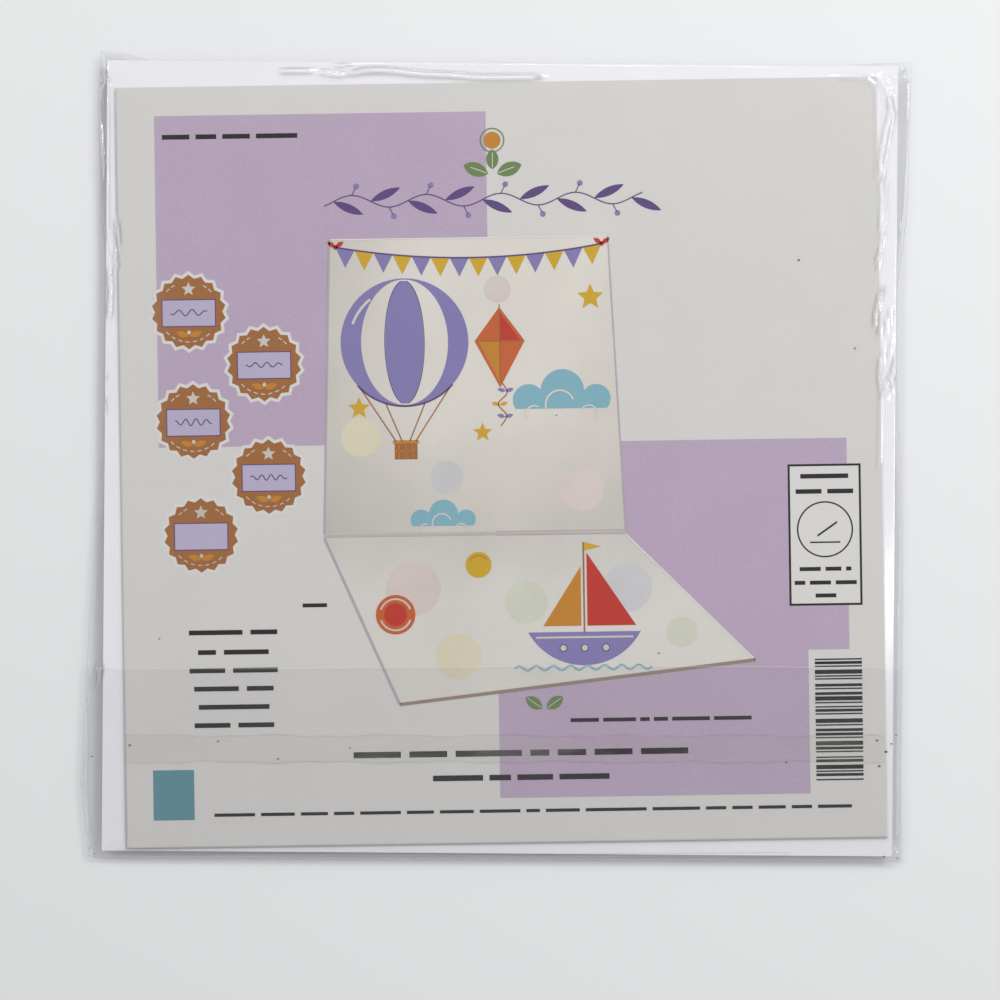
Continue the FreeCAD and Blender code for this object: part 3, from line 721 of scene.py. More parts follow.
    def _kite(self) -> None:
        """Its spars and its tail with bows."""
        self.line("ink_brown", ((50.0, 61.0), (50.0, 70.8)), 0.13)
        self.line("ink_brown", ((47.0, 66.0), (53.0, 66.0)), 0.13)
        tail = smooth(((50.0, 60.8), (50.9, 59.2), (49.7, 57.7), (50.8, 56.2), (50.0, 54.8)))
        self.line("ink_brown", tail, 0.15)
        for ink, x, y in (("violet", 50.7, 59.4), ("yellow", 49.9, 57.6), ("violet", 50.6, 56.0)):
            self.bow(f"ink_{ink}", (x, y), 1.1, 0.26, 15)

    def _boat(self) -> None:
        """Its mast, flag, portholes and the water."""
        self.line("ink_brown", ((60.6, 27.5), (60.6, 39.4)), 0.2)
        self.patch("ink_yellow", ((60.7, 38.3), (62.9, 38.8), (60.7, 39.4)))
        self.line("ink_cream", ((54.2, 26.9), (67.0, 26.9)), 0.26)
        for x in (57.8, 60.6, 63.4):
            self.dot("ink_cream", (x, 25.5), 0.46)
            self.ring("ink_title", (x, 25.5), 0.46, 0.1)
        first, last, height = 51.4, 69.4, 22.9
        places = np.linspace(first, last, 70)
        self.line("ink_sky_blue", [(x, height + 0.3 * math.sin((x - first) * 2.8)) for x in places], 0.26)

    def _small_things(self) -> None:
        """Curls on the clouds, rings on the balls and the veins and ring of the sprigs."""
        for x, y, size in ((58.0, 57.0, 1.0), (42.2, 41.8, 0.66)):
            for across, up, radius, first, last, width in CLOUD_CURLS:
                curl = arc((x + across * size, y + up * size), radius * size, first, last)
                self.line("ink_cream", curl, width)
        for start in (20, 200):
            self.line("ink_cream", arc((35.8, 30.2), 2.06, start, start + 140), 0.24)
        self.line("ink_ochre", arc((46.8, 36.6), 1.25, 30, 150), 0.18)
        self.ring("ink_green", (49.4, 92.4), 1.55, 0.14)
        for start, turn in (((50.2, 88.1), 20), ((48.6, 88.1), 160), ((49.4, 88.8), 90),
                            ((55.6, 17.7), 35), ((54.8, 17.7), 145)):
            self.line("ink_cream", (start, on_circle(start, 2.2, turn)), 0.1)

    def _title(self) -> None:
        """A stem that winds through the row of leaves, with small buds."""
        first, pitch, base, rise = 28.4, 4.9, 84.6, 0.8
        places = np.linspace(first - 1.2, first + 8.3 * pitch, 90)
        stem = [(x, base + rise * math.sin((x - first) * math.pi / pitch)) for x in places]
        self.line("ink_title", stem, 0.13)
        for index in range(8):
            side = -1 if index % 2 else 1
            x = first + (index + 0.5) * pitch
            self.line("ink_title", ((x, base + side * rise), (x + 0.5, base + side * (rise + 1.0))), 0.1)
            self.dot("ink_violet", (x + 0.6, base + side * (rise + 1.2)), 0.36)

    def _badges(self) -> None:
        """A stitched ring, a frame round the label, and a pen stroke on all labels but the last."""
        for index, (x, y) in enumerate(BADGES):
            for start in STITCHES:
                self.line("ink_cream", arc((x, y), 3.95, start, start + 8, 2), 0.14)
            corners = ((x - 3.5, y - 1.9), (x + 3.5, y - 1.9), (x + 3.5, y + 1.6), (x - 3.5, y + 1.6))
            for first, last in zip(corners, corners[1:] + corners[:1]):
                self.line("ink_title", (first, last), 0.12)
            self.bow("ink_ochre", (x, y - 3.2), 1.8, 0.4, 18)
            self.dot("ink_cream", (x, y - 2.7), 0.26)
            if index < len(PEN_HEIGHTS):
                height, pace = PEN_HEIGHTS[index], 3.6 + 0.5 * index
                stroke = [(x + a, y - 0.1 + height * math.sin(a * pace) * math.cos(a * 0.45))
                          for a in np.linspace(-2.4, 2.4, 40)]
                self.line("ink_title", stroke, 0.14)

    def build(self) -> None:
        """Draw everything, and join what one ink prints into one piece."""
        for draw in (self._picture, self._balloon, self._bunting, self._kite, self._boat,
                     self._small_things, self._title, self._badges):
            draw()
        for ink, pieces in self.drawn.items():
            joined = join(pieces, f"fine_{ink}")
            wall = joined.modifiers.new("thickness", "SOLIDIFY")
            wall.thickness = self.thick
            wall.offset = 1.0
            bpy.ops.object.modifier_apply(modifier=wall.name)
            seat(joined, self.stack.look(ink))


# The clear sleeve


class Outline:
    """The welded edge of the sleeve in plan, as smooth curves through the CAD seam."""

    def __init__(self, node: str, seam: float) -> None:
        """Read the seam's points from the sleeve's CAD node.

        Args:
            node: The sleeve's node.
            seam: The seam's height.
        """
        points = np.array([v.co for v in frame["nodes"][node].data.vertices])
        ring = points[np.abs(points[:, 2] - seam) < 1e-6][:, :2]
        self.low, self.high = ring.min(0), ring.max(0)
        total, lean = ring.sum(1), ring[:, 0] - ring[:, 1]
        low_left, high_right = ring[total.argmin()], ring[total.argmax()]
        low_right, high_left = ring[lean.argmax()], ring[lean.argmin()]
        self.x_grid, self.y_grid = (np.linspace(self.low[axis], self.high[axis], 600) for axis in (0, 1))
        self.right = self._side(ring, low_right, high_right, 0, self.y_grid)
        self.top = self._side(ring, high_right, high_left, 1, self.x_grid)
        self.left = self._side(ring, high_left, low_left, 0, self.y_grid)
        self.bottom = self._side(ring, low_left, low_right, 1, self.x_grid)

    @staticmethod
    def _side(ring: Array, start: Array, end: Array, axis: int, grid: Array) -> Array:
        """One side of the seam, read at even steps and softened.

        Args:
            ring: The seam's points.
            start: The corner where the side starts, going round leftwards.
            end: The corner where it ends.
            axis: 0 for the left and right sides, 1 for the bottom and top.
            grid: The places along the side.

        Returns:
            The side's place at each step.
        """
        turn = np.arctan2(ring[:, 1], ring[:, 0])
        first, last = math.atan2(start[1], start[0]), math.atan2(end[1], end[0])
        full, slack = 2 * math.pi, 1e-6
        side = ring[(turn - first + slack) % full <= (last - first) % full + 2 * slack]
        side = side[np.argsort(side[:, 1 - axis])]
        values = np.interp(grid, side[:, 1 - axis], side[:, axis])
        kernel = np.hanning(9)
        return np.convolve(np.pad(values, 4, mode="edge"), kernel / kernel.sum(), mode="valid")

    def place(self, u: Array, v: Array) -> tuple[Array, Array]:
        """Spread shares of the width and height over the sleeve.

        Args:
            u: Shares from the left to the right edge.
            v: Shares from the bottom to the top edge.

        Returns:
            The places in plan.
        """
        x = self.low[0] + u * (self.high[0] - self.low[0])
        for _ in range(3):
            low, high = np.interp(x, self.x_grid, self.bottom), np.interp(x, self.x_grid, self.top)
            y = low + v * (high - low)
            low, high = np.interp(y, self.y_grid, self.left), np.interp(y, self.y_grid, self.right)
            x = low + u * (high - low)
        return x, y

    def inside(self, x: Array, y: Array) -> Array:
        """How far points lie inside the welded edge.

        Args:
            x: Places to the right.
            y: Places up.

        Returns:
            The distances, none less than nothing.
        """
        gaps = [x - np.interp(y, self.y_grid, self.left), np.interp(y, self.y_grid, self.right) - x,
                y - np.interp(x, self.x_grid, self.bottom), np.interp(x, self.x_grid, self.top) - y]
        return np.maximum(np.minimum.reduce(gaps), 0)


@dataclass(frozen=True)
class Crease:
    """A sharp raised fold in the film along a line of points, with facets that catch a lamp."""

    points_mm: tuple[Point, ...]
    width_mm: float
    height_mm: float
    # How strong the painted highlight along the fold is; painted shade on its flanks follows it.
    whiteness: float
    glints: int = 0
    lamp: Lamp = Lamp.SIDE
    glint_mm: Point = (1.0, 0.42)


@dataclass(frozen=True)
class Crumple:
    """A patch of film pushed into small facets, in millimetres."""

    centre_mm: Point
    reach_mm: Point
    cell_mm: Point
    height_mm: float
    # How strong the painted highlight on the folds between facets is.
    whiteness: float


@dataclass(frozen=True)
class Glint:
    """One facet of film that leans to a lamp: its middle, half length and half width, and direction."""

    centre_mm: Point
    reach_mm: Point
    turn: float
    lamp: Lamp = Lamp.KEY


@dataclass(frozen=True)
class Sheen:
    """A painted soft reflection: a whitish zone of the film, in millimetres."""

    centre_mm: Point
    reach_mm: Point
    whiteness: float


CREASES = (
    Crease(((-44.2, 80.5), (-39.2, 80.5)), 0.5, 0.24, 0.8, 2, Lamp.TOP, (1.6, 0.34)),
    Crease(((-36.0, 80.2), (-34.2, 79.8), (-31.6, 79.6)), 0.5, 0.24, 0.8, 2, Lamp.TOP, (1.0, 0.34)),
    Crease(((-28.9, 80.2), (-27.2, 80.6), (-23.7, 80.7), (-20.7, 80.4), (-14.9, 79.8), (-9.0, 79.6),
            (-3.5, 79.1), (8.3, 79.2)), 0.6, 0.3, 0.9, 8, Lamp.TOP, (2.2, 0.4)),
    Crease(((-32.5, 81.7), (-31.3, 81.9)), 0.4, 0.2, 0.7, 1, Lamp.TOP, (0.6, 0.3)),
    Crease(((71.8, 79.4), (77.4, 78.7), (78.9, 77.5), (79.5, 75.4), (79.6, 68.1), (79.6, 57.7)),
           0.7, 0.2, 0.25),
    Crease(((80.1, 78.9), (81.7, 76.1), (82.2, 73.4), (81.9, 70.9)), 0.5, 0.22, 0.45, 1),
    Crease(((82.2, 74.4), (82.6, 72.0), (81.5, 68.5), (80.8, 65.0), (80.3, 61.5), (80.5, 58.7)),
           0.55, 0.3, 0.85, 4, Lamp.SIDE, (1.3, 0.4)),
    Crease(((83.1, 71.9), (82.2, 66.5), (81.4, 62.3), (80.8, 58.3)), 0.45, 0.24, 0.6, 2,
           Lamp.SIDE, (1.0, 0.34)),
    Crease(((86.2, 77.9), (86.3, 76.1), (86.2, 71.3), (86.6, 69.5)), 0.42, 0.22, 0.8, 3,
           Lamp.SIDE, (0.8, 0.3)),
    Crease(((86.5, 69.0), (86.4, 66.0), (86.0, 61.0), (85.6, 55.0), (84.9, 46.0)), 0.42, 0.22, 0.6, 4,
           Lamp.SIDE, (1.2, 0.34)),
    Crease(((80.4, 57.2), (80.7, 53.5), (80.4, 47.8), (80.7, 46.2)), 0.5, 0.26, 0.8, 3,
           Lamp.SIDE, (1.1, 0.36)),
    Crease(((81.4, 57.5), (81.3, 53.0), (81.1, 47.3)), 0.42, 0.2, 0.5, 1, Lamp.SIDE, (1.1, 0.3)),
    Crease(((80.4, 44.1), (80.0, 42.1), (79.5, 41.0), (79.9, 39.5)), 0.45, 0.24, 0.65, 2,
           Lamp.SIDE, (0.7, 0.34)),
    Crease(((80.7, 34.2), (79.9, 32.7), (79.2, 29.5), (79.2, 27.4), (80.4, 26.2)), 0.5, 0.26, 0.8, 3,
           Lamp.SIDE, (0.8, 0.36)),
    Crease(((82.5, 30.1), (82.0, 28.7), (81.4, 27.4)), 0.5, 0.26, 0.8, 1, Lamp.KEY, (1.1, 0.4)),
    Crease(((82.7, 23.3), (82.1, 21.2)), 0.4, 0.2, 0.5, 1, Lamp.SIDE, (0.7, 0.3)),
    Crease(((80.9, 21.2), (80.1, 19.6), (79.9, 16.0), (80.4, 13.4)), 0.45, 0.24, 0.6, 2,
           Lamp.SIDE, (0.9, 0.34)),
    Crease(((83.5, 19.6), (83.0, 17.0), (81.2, 14.1)), 0.6, 0.3, 0.9, 3, Lamp.SIDE, (1.0, 0.45)),
    Crease(((80.3, 12.8), (80.2, 5.5), (80.0, -2.8)), 0.5, 0.14, 0.25),
    Crease(((-82.3, 83.8), (-81.8, 80.0), (-81.4, 78.6), (-82.6, 76.5), (-83.0, 73.7), (-82.9, 70.9),
            (-82.4, 66.1), (-81.9, 57.7)), 0.45, 0.28, 0.9, 6, Lamp.LEFT, (1.3, 0.34)),
    Crease(((-83.0, 71.7), (-82.8, 67.5), (-82.1, 60.6)), 0.4, 0.22, 0.5, 2, Lamp.LEFT, (1.0, 0.3)),
    Crease(((-83.2, 78.6), (-81.6, 78.7)), 0.4, 0.22, 0.7, 1, Lamp.TOP, (0.6, 0.3)),
    Crease(((-83.2, 82.3), (-83.1, 79.0), (-83.2, 74.4)), 0.4, 0.2, 0.5, 1, Lamp.LEFT, (0.7, 0.3)),
    Crease(((-81.1, 78.6), (-81.2, 70.2), (-81.2, 57.7), (-81.2, 47.9)), 0.5, 0.2, 0.5, 7,
           Lamp.LEFT, (2.4, 0.34)),
    Crease(((-82.9, 57.7), (-82.6, 52.5), (-81.7, 45.2)), 0.42, 0.2, 0.5, 1, Lamp.LEFT, (1.2, 0.3)),
    Crease(((-79.1, 48.3), (-78.8, 45.2)), 0.55, 0.3, 0.95, 1, Lamp.LEFT, (1.2, 0.44)),
    Crease(((-79.4, 42.7), (-79.1, 40.0)), 0.5, 0.26, 0.85, 1, Lamp.LEFT, (1.0, 0.4)),
    Crease(((-80.7, 38.9), (-80.4, 34.7), (-80.7, 29.5)), 0.55, 0.28, 0.95, 2, Lamp.LEFT, (2.0, 0.42)),
    Crease(((-81.7, 17.2), (-81.6, 16.0)), 0.4, 0.2, 0.7, 1, Lamp.LEFT, (0.5, 0.3)),
    Crease(((-81.6, 11.0), (-81.6, 9.8)), 0.4, 0.2, 0.7, 1, Lamp.LEFT, (0.5, 0.3)),
    Crease(((-83.4, -44.6), (-82.5, -44.7), (-82.9, -45.8)), 0.5, 0.24, 0.95, 1, Lamp.LEFT, (0.5, 0.4)),
    Crease(((-86.7, -53.5), (-85.4, -51.9)), 0.42, 0.22, 0.8, 1, Lamp.LEFT, (0.7, 0.3)),
    Crease(((-86.2, -50.2), (-85.8, -53.0)), 0.4, 0.18, 0.6),
    Crease(((-85.8, -53.9), (-85.8, -71.7), (-85.4, -78.6)), 0.4, 0.06, 0.3),
    Crease(((-85.6, -82.0), (-85.9, -83.2), (-84.6, -83.3)), 0.45, 0.26, 0.95, 2, Lamp.LEFT, (0.4, 0.34)),
    Crease(((84.7, -14.0), (84.3, -34.0), (84.1, -56.0), (83.9, -79.0)), 0.45, 0.1, 0.25),
    Crease(((-60.0, -83.4), (-30.0, -83.2), (10.0, -83.5), (60.0, -83.2)), 0.4, 0.08, 0.25),
)
CRUMPLES = (
    Crumple((-82.6, 80.9), (1.6, 4.2), (0.8, 2.0), 0.2, 0.45),
    Crumple((-80.0, 41.6), (1.3, 3.2), (0.7, 0.9), 0.13, 0.7),
    Crumple((82.6, 77.6), (1.6, 2.4), (1.1, 1.3), 0.2, 0.3),
    Crumple((85.6, 80.8), (1.6, 2.0), (0.8, 0.9), 0.3, 0.6),
    Crumple((-85.4, -83.0), (1.2, 1.2), (0.6, 0.6), 0.16, 0.9),
    Crumple((-86.0, -51.6), (1.0, 2.2), (0.6, 1.0), 0.12, 0.4),
    Crumple((84.6, -82.6), (1.6, 1.2), (0.8, 0.8), 0.2, 0.35),
)
GLINTS = (
    Glint((83.6, 79.6), (1.0, 0.7), 35), Glint((82.0, 78.2), (0.8, 0.6), 20),
    Glint((82.5, 76.2), (1.0, 0.45), 80), Glint((79.1, 79.5), (0.45, 0.3), 140),
    Glint((82.1, 66.2), (0.8, 0.5), 75), Glint((80.6, 58.6), (0.6, 0.5), 90),
    Glint((80.7, 45.4), (1.1, 0.5), 5), Glint((80.8, 44.6), (0.5, 0.5), 0),
    Glint((86.5, 63.2), (1.0, 0.35), 85), Glint((83.3, 18.6), (1.0, 0.45), 75),
    Glint((82.2, 15.6), (1.0, 0.4), 50),
)
SHEENS = (
    Sheen((-75.5, 20.0), (4.5, 70.0), 0.09), Sheen((-10.0, 76.0), (80.0, 3.0), 0.05),
    Sheen((77.0, 68.0), (7.0, 16.0), 0.06), Sheen((-79.5, -80.6), (2.0, 1.4), 0.16),
)
SPECKS_MM = (
    (-76.4, -60.2, 0.26), (-84.5, -62.7, 0.2), (-45.5, -63.1, 0.22), (79.5, -59.2, 0.24), (81.4, -61.6, 0.3),
    (82.6, -60.0, 0.2), (80.0, -64.6, 0.26), (83.6, -58.2, 0.2), (63.2, 41.0, 0.24), (74.9, 22.6, 0.2),
    (81.0, -83.6, 0.24), (84.0, -84.0, 0.2), (34.0, -41.0, 0.18), (60.6, -63.8, 0.2), (-58.0, -59.4, 0.2),
    (-30.4, -60.8, 0.18), (12.6, 8.6, 0.16), (-70.2, -38.0, 0.16),
)


@dataclass
class ClearSleeve:
    """The clear film bag: front, back and the flap folded over the front."""

    stack: PaperStack
    seam: float = 1.355 * MM
    seam_gap: float = 0.06 * MM
    film: float = 0.05 * MM
    print_gap: float = 0.08 * MM
    paper_gap: float = 0.09 * MM
    fine_step: float = 0.2 * MM
    coarse_step: float = 1.7 * MM
    fine_zone: float = 10.8 * MM
    calm_zone: float = 0.8 * MM
    wave: float = 0.025 * MM
    flap_end: float = -43.9 * MM
    flap_rim: float = 0.35 * MM
    flap_slack: float = 2.4 * MM
    flap_lift: float = 0.1 * MM
    flap_waver: float = 0.25 * MM
    flap_edge_highlight: float = 0.2
    flap_share: float = 0.5
    glue_waver: float = 0.18 * MM
    glue_edge: float = -0.045
    speck_drop: float = 0.04 * MM
    crease_highlight: float = 0.6
    flank_shade: float = 0.42
    flank_widths: Point = (1.2, 0.45)
    least_highlight: float = 0.15
    edge_shade: float = 0.3
    edge_width_mm: float = 0.2
    glint_rim: Point = (1.35, 0.5)
    crumple_rim: Point = (1.25, 0.5)
    facet_spread: float = 1.3
    fold_width: float = 0.12
    most_facets: int = 260
    weld_white: float = 0.32
    weld_mm: Point = (0.15, 0.16)
    eye_height: float = 0.58
    seed: int = 12

    def __post_init__(self) -> None:
        """Read the stack that the film wraps."""
        self.outline = Outline("clear_sleeve", self.seam)
        self.insert = Sheet("insert_sheet")
        self.envelope = Sheet("envelope")
        self.card = Sheet("card_cover")
        self.print_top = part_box("print_stripe")[1].z
        left, right, top = (corner / MM for corner in corners_of("insert_sheet"))
        self.shadow_lines = ((top, left), (left, right))

    def _steps(self, length: float) -> Array:
        """Shares along a side, close together near both ends.

        Args:
            length: The side's length.

        Returns:
            Shares from 0 to 1.
        """
        fine = np.arange(0, self.fine_zone, self.fine_step)
        middle = np.arange(self.fine_zone, length - self.fine_zone, self.coarse_step)
        return np.concatenate([fine, middle, length - fine[::-1]]) / length

    def _draped(self, x: Array, y: Array, inside: Array) -> Array:
        """The front film's height over the print, the envelope's rim and the slack, without folds.

        Args:
            x: Places to the right.
            y: Places up.
            inside: How far they lie inside the welded edge.

        Returns:
            The heights.
        """
        top, shelf = self.print_top + self.print_gap, self.envelope.top + self.paper_gap
        over_envelope = self.envelope.outside(x, y)
        down, past = np.maximum(self.insert.outside(x, y), 0), np.maximum(over_envelope, 0)
        height = top + (shelf - top) * (down / (down + np.maximum(-over_envelope, 0) + TINY))
        slack = shelf + (self.seam + self.seam_gap - shelf) * (past / (past + inside + TINY))
        return np.where(past > 0, slack, height)

    def front(self, x: Array, y: Array) -> tuple[Array, Array]:
        """The front film's height and the painted light on it.

        Args:
            x: Places to the right.
            y: Places up.

        Returns:
            The heights, and painted highlights up to 1, less than nothing where painted shade falls.
        """
        inside = self.outline.inside(x, y)
        calm = np.clip(inside / self.calm_zone, 0, 1)
        x_mm, y_mm = x / MM, y / MM
        waves = (np.sin(x_mm * 0.13 + y_mm * 0.05 + 1.0) + np.sin(x_mm * 0.04 - y_mm * 0.11)
                 + 0.6 * np.sin(x_mm * 0.21 + 2.0) * np.sin(y_mm * 0.17 + 0.5) + 2.6)
        height = self._draped(x, y, inside) + self.wave * waves * calm
        creases, flanks = np.zeros_like(x), np.zeros_like(x)
        # Painted soft reflections on the film.
        for sheen in SHEENS:
            (cx, cy), (rx, ry) = sheen.centre_mm, sheen.reach_mm
            creases += sheen.whiteness * np.exp(-((x_mm - cx) / rx) ** 2 - ((y_mm - cy) / ry) ** 2)
        chance = np.random.default_rng(self.seed)
        glints = list(GLINTS)
        # Each crease lifts the film, paints a highlight along itself and shade on its flanks, and adds
        # glinting facets.
        for crease in CREASES:
            far = self._distance(x_mm, y_mm, crease.points_mm) / crease.width_mm
            near = np.clip(1 - far, 0, 1)
            flank = np.exp(-((far - self.flank_widths[0]) / self.flank_widths[1]) ** 2)
            flanks = np.maximum(flanks, self.flank_shade * crease.whiteness * flank)
            height += crease.height_mm * MM * near * calm
            creases = np.maximum(creases, self.crease_highlight * crease.whiteness * near ** 2)
            glints += self._glints_on(crease, chance)
        # Crumples lift facets and paint highlights on the folds between them.
        for crumple in CRUMPLES:
            lift, fold_highlight = self._crumple(x_mm, y_mm, crumple, chance)
            height += lift * MM * calm
            creases = np.maximum(creases, self.crease_highlight * fold_highlight)
        for glint in glints:
            height += self._glint(x, y, glint) * calm
        weld = np.exp(-((inside / MM - self.weld_mm[0]) / self.weld_mm[1]) ** 2)
        creases = np.maximum(creases, self.weld_white * weld)
        # Painted shadow lines along the insert's left and bottom edges.
        for line in self.shadow_lines:
            far = self._distance(x_mm, y_mm, line) / self.edge_width_mm
            flanks = np.maximum(flanks, self.edge_shade * np.exp(-far ** 2))
        return height, np.where(creases > self.least_highlight, creases, creases - flanks)

    @staticmethod
    def _distance(x: Array, y: Array, points: Sequence[Point]) -> Array:
        """How far places are from a line of points.

        Args:
            x: Places to the right.
            y: Places up.
            points: The line's points.

        Returns:
            The distances.
        """
        nearest = np.full_like(x, 1e9)
        for (x1, y1), (x2, y2) in zip(points, points[1:]):
            length = (x2 - x1) ** 2 + (y2 - y1) ** 2
            share = np.clip(((x - x1) * (x2 - x1) + (y - y1) * (y2 - y1)) / length, 0, 1)
            nearest = np.minimum(nearest, np.hypot(x - x1 - share * (x2 - x1), y - y1 - share * (y2 - y1)))
        return nearest

    @staticmethod
    def _glints_on(crease: Crease, chance: np.random.Generator) -> list[Glint]:
        """Facets spread unevenly along a crease.

        Args:
            crease: The crease.
            chance: The seeded source of chance.

        Returns:
            The facets.
        """
        points = np.array(crease.points_mm)
        runs = np.linalg.norm(np.diff(points, axis=0), axis=1)
        ends = np.concatenate([[0.0], np.cumsum(runs)])
        out = []
        for index in range(crease.glints):
            way = (index + chance.uniform(0.1, 0.9)) / crease.glints * ends[-1]
            leg = min(int(np.searchsorted(ends, way, side="right")) - 1, len(runs) - 1)
            step = points[leg + 1] - points[leg]
            middle = points[leg] + step * (way - ends[leg]) / runs[leg]
            grow = chance.uniform(0.55, 1.25)
            out.append(Glint((float(middle[0]), float(middle[1])),
                             (crease.glint_mm[0] * grow, crease.glint_mm[1] * grow ** 0.5),
                             math.degrees(math.atan2(step[1], step[0])), crease.lamp))
        return out

    def _glint(self, x: Array, y: Array, glint: Glint) -> Array:
        """Lean a facet half-way between its lamp and the eye straight above.

        Args:
            x: Places to the right.
            y: Places up.
            glint: The facet.

        Returns:
            The lift in metres.
        """
        centre = Vector((glint.centre_mm[0] * MM, glint.centre_mm[1] * MM, 0.0))
        to_lamp, to_eye = Vector(glint.lamp.value[0]) - centre, Vector((0, 0, self.eye_height)) - centre
        halfway = to_lamp.normalized() + to_eye.normalized()
        across, up = x - centre.x, y - centre.y
        turn, (long, wide) = math.radians(glint.turn), glint.reach_mm
        a = (across * math.cos(turn) + up * math.sin(turn)) / (long * MM)
        b = (up * math.cos(turn) - across * math.sin(turn)) / (wide * MM)
        rim, fade = self.glint_rim
        window = np.clip((rim - np.hypot(a, b)) / fade, 0, 1)
        lean = -halfway.x / halfway.z * across - halfway.y / halfway.z * up
        return (lean - (lean * (window > 0)).min()) * window

    def _crumple(self, x: Array, y: Array, crumple: Crumple,
                 chance: np.random.Generator) -> tuple[Array, Array]:
        """Facets with sharp folds between them, which fade out round the patch.

        Args:
            x: Places to the right, in millimetres.
            y: Places up, in millimetres.
            crumple: The patch.
            chance: The seeded source of chance.

        Returns:
            The lift in millimetres, and the painted highlight on the folds.
        """
        (cx, cy), (rx, ry), (wide, tall) = crumple.centre_mm, crumple.reach_mm, crumple.cell_mm
        count = int(min(self.most_facets, 8 + 5 * rx * ry / (wide * tall)))
        seeds = chance.uniform(-self.facet_spread, self.facet_spread, (count, 2)) * (rx, ry) + (cx, cy)
        away = np.hypot((x - cx) / rx, (y - cy) / ry)
        lift, fold_highlight = np.zeros_like(x), np.zeros_like(x)
        rim, edge = self.crumple_rim
        near = away < rim
        if not near.any():
            return lift, fold_highlight
        gaps = np.hypot((x[near][:, None] - seeds[:, 0]) / wide, (y[near][:, None] - seeds[:, 1]) / tall)
        gaps.partition(1, axis=1)
        ridge = gaps[:, 1] - gaps[:, 0]
        fade = np.clip((rim - away[near]) / edge, 0, 1)
        lift[near] = crumple.height_mm * np.clip(ridge, 0, 1) * fade
        fold_highlight[near] = crumple.whiteness * np.exp(-(ridge / self.fold_width) ** 2) * fade
        return lift, fold_highlight

    def back(self, x: Array, y: Array) -> Array:
        """The back film's height.

        Args:
            x: Places to the right.
            y: Places up.

        Returns:
            The heights.
        """
        past = np.maximum(self.card.outside(x, y), 0)
        low, high = self.film / 2, self.seam - self.seam_gap
        return low + (high - low) * past / (past + self.outline.inside(x, y) + TINY)

    @staticmethod
    def _grid(name: str, u: Array, v: Array) -> tuple[bpy.types.Object, Array, Array]:
        """Add a grid whose rows and columns are spread over the sleeve.

        Args:
            name: The object's name.
            u: Shares of the width.
            v: Shares of the height.

        Returns:
            The grid's object, and each point's share of the width and height.
        """
        grid = begin(bpy.ops.mesh.primitive_grid_add, x_subdivisions=len(u) - 1,
                     y_subdivisions=len(v) - 1, size=2.0)
        grid.name = name
        places = np.zeros(len(grid.data.vertices) * 3, np.float32)
        grid.data.vertices.foreach_get("co", places)
        places = places.reshape(-1, 3)
        column = np.rint((places[:, 0] + 1) / 2 * (len(u) - 1)).astype(int)
        row = np.rint((places[:, 1] + 1) / 2 * (len(v) - 1)).astype(int)
        return grid, u[column], v[row]

    @staticmethod
    def _set(piece: bpy.types.Object, x: Array, y: Array, z: Array, creases: Array) -> None:
        """Move a piece's points into place and store the painted light, and the glue's dark edge, per point.

        Args:
            piece: The piece.
            x: Places to the right.
            y: Places up.
            z: Heights.
            creases: The painted light, and for the glue its darker edge.
        """
        piece.data.vertices.foreach_set("co", np.stack([x, y, z], 1).astype(np.float32).ravel())
        attribute = piece.data.attributes.new("crease", "FLOAT", "POINT")
        attribute.data.foreach_set("value", creases.astype(np.float32))
        piece.data.update()

    def build_bag(self, u: Array, v: Array) -> None:
        """Make the front and back, welded together at the seam.

        Args:
            u: Shares of the width where the columns lie.
            v: Shares of the height where the rows lie.
        """
        sides = []
        for name in ("front", "back"):
            side, su, sv = self._grid(name, u, v)
            x, y = self.outline.place(su, sv)
            z, creases = self.front(x, y) if name == "front" else (self.back(x, y), np.zeros_like(x))
            rim = (su <= 0) | (su >= 1) | (sv <= 0) | (sv >= 1)
            self._set(side, x, y, np.where(rim, self.seam, z), creases)
            sides.append(side)
        bag = join(sides, "clear_bag")
        bpy.ops.object.mode_set(mode="EDIT")
        bpy.ops.mesh.select_all(action="SELECT")
        bpy.ops.mesh.remove_doubles(threshold=0.004 * MM)
        bpy.ops.mesh.normals_make_consistent(inside=False)
        bpy.ops.object.mode_set(mode="OBJECT")
        bpy.ops.object.shade_smooth()
        seat(bag, self.stack.materials.film(BAG_FILM), "clear_sleeve")

    def build_flap(self, u: Array, v: Array, tall: float) -> None:
        """Make the flap over the lower front, with a painted highlight as a thin light line along its free
        edge.

        Args:
            u: Shares of the width where the columns lie.
            v: Shares of the height where the bag's rows lie.
            tall: The bag's height.
        """
        reach = self.flap_end - self.outline.low[1]
        rows = v[v * tall < reach - self.flap_slack]
        rows = np.concatenate([rows, [(reach - self.flap_rim) / tall, reach / tall]])
        flap, fu, fv = self._grid("clear_flap", u, rows)
        x, y = self.outline.place(fu, fv)
        edge = self.flap_end + self.flap_waver * np.sin(x / MM * 0.035 + 0.6)
        last = fv >= rows[-1]
        y = np.where(last, edge, np.where(fv >= rows[-2], edge - self.flap_rim, y))
        z, creases = self.front(x, y)
        # A painted highlight along the flap's free edge; elsewhere the flap keeps half the painted light.
        creases = np.where(last, np.maximum(creases, self.flap_edge_highlight), self.flap_share * creases)
        lift = self.flap_lift * np.clip(self.outline.inside(x, y) / (1.5 * MM), 0.55, 1)
        self._set(flap, x, y, z + lift, creases)
        bpy.ops.object.shade_smooth()
        seat(flap, self.stack.materials.film(FLAP_FILM), "clear_sleeve")

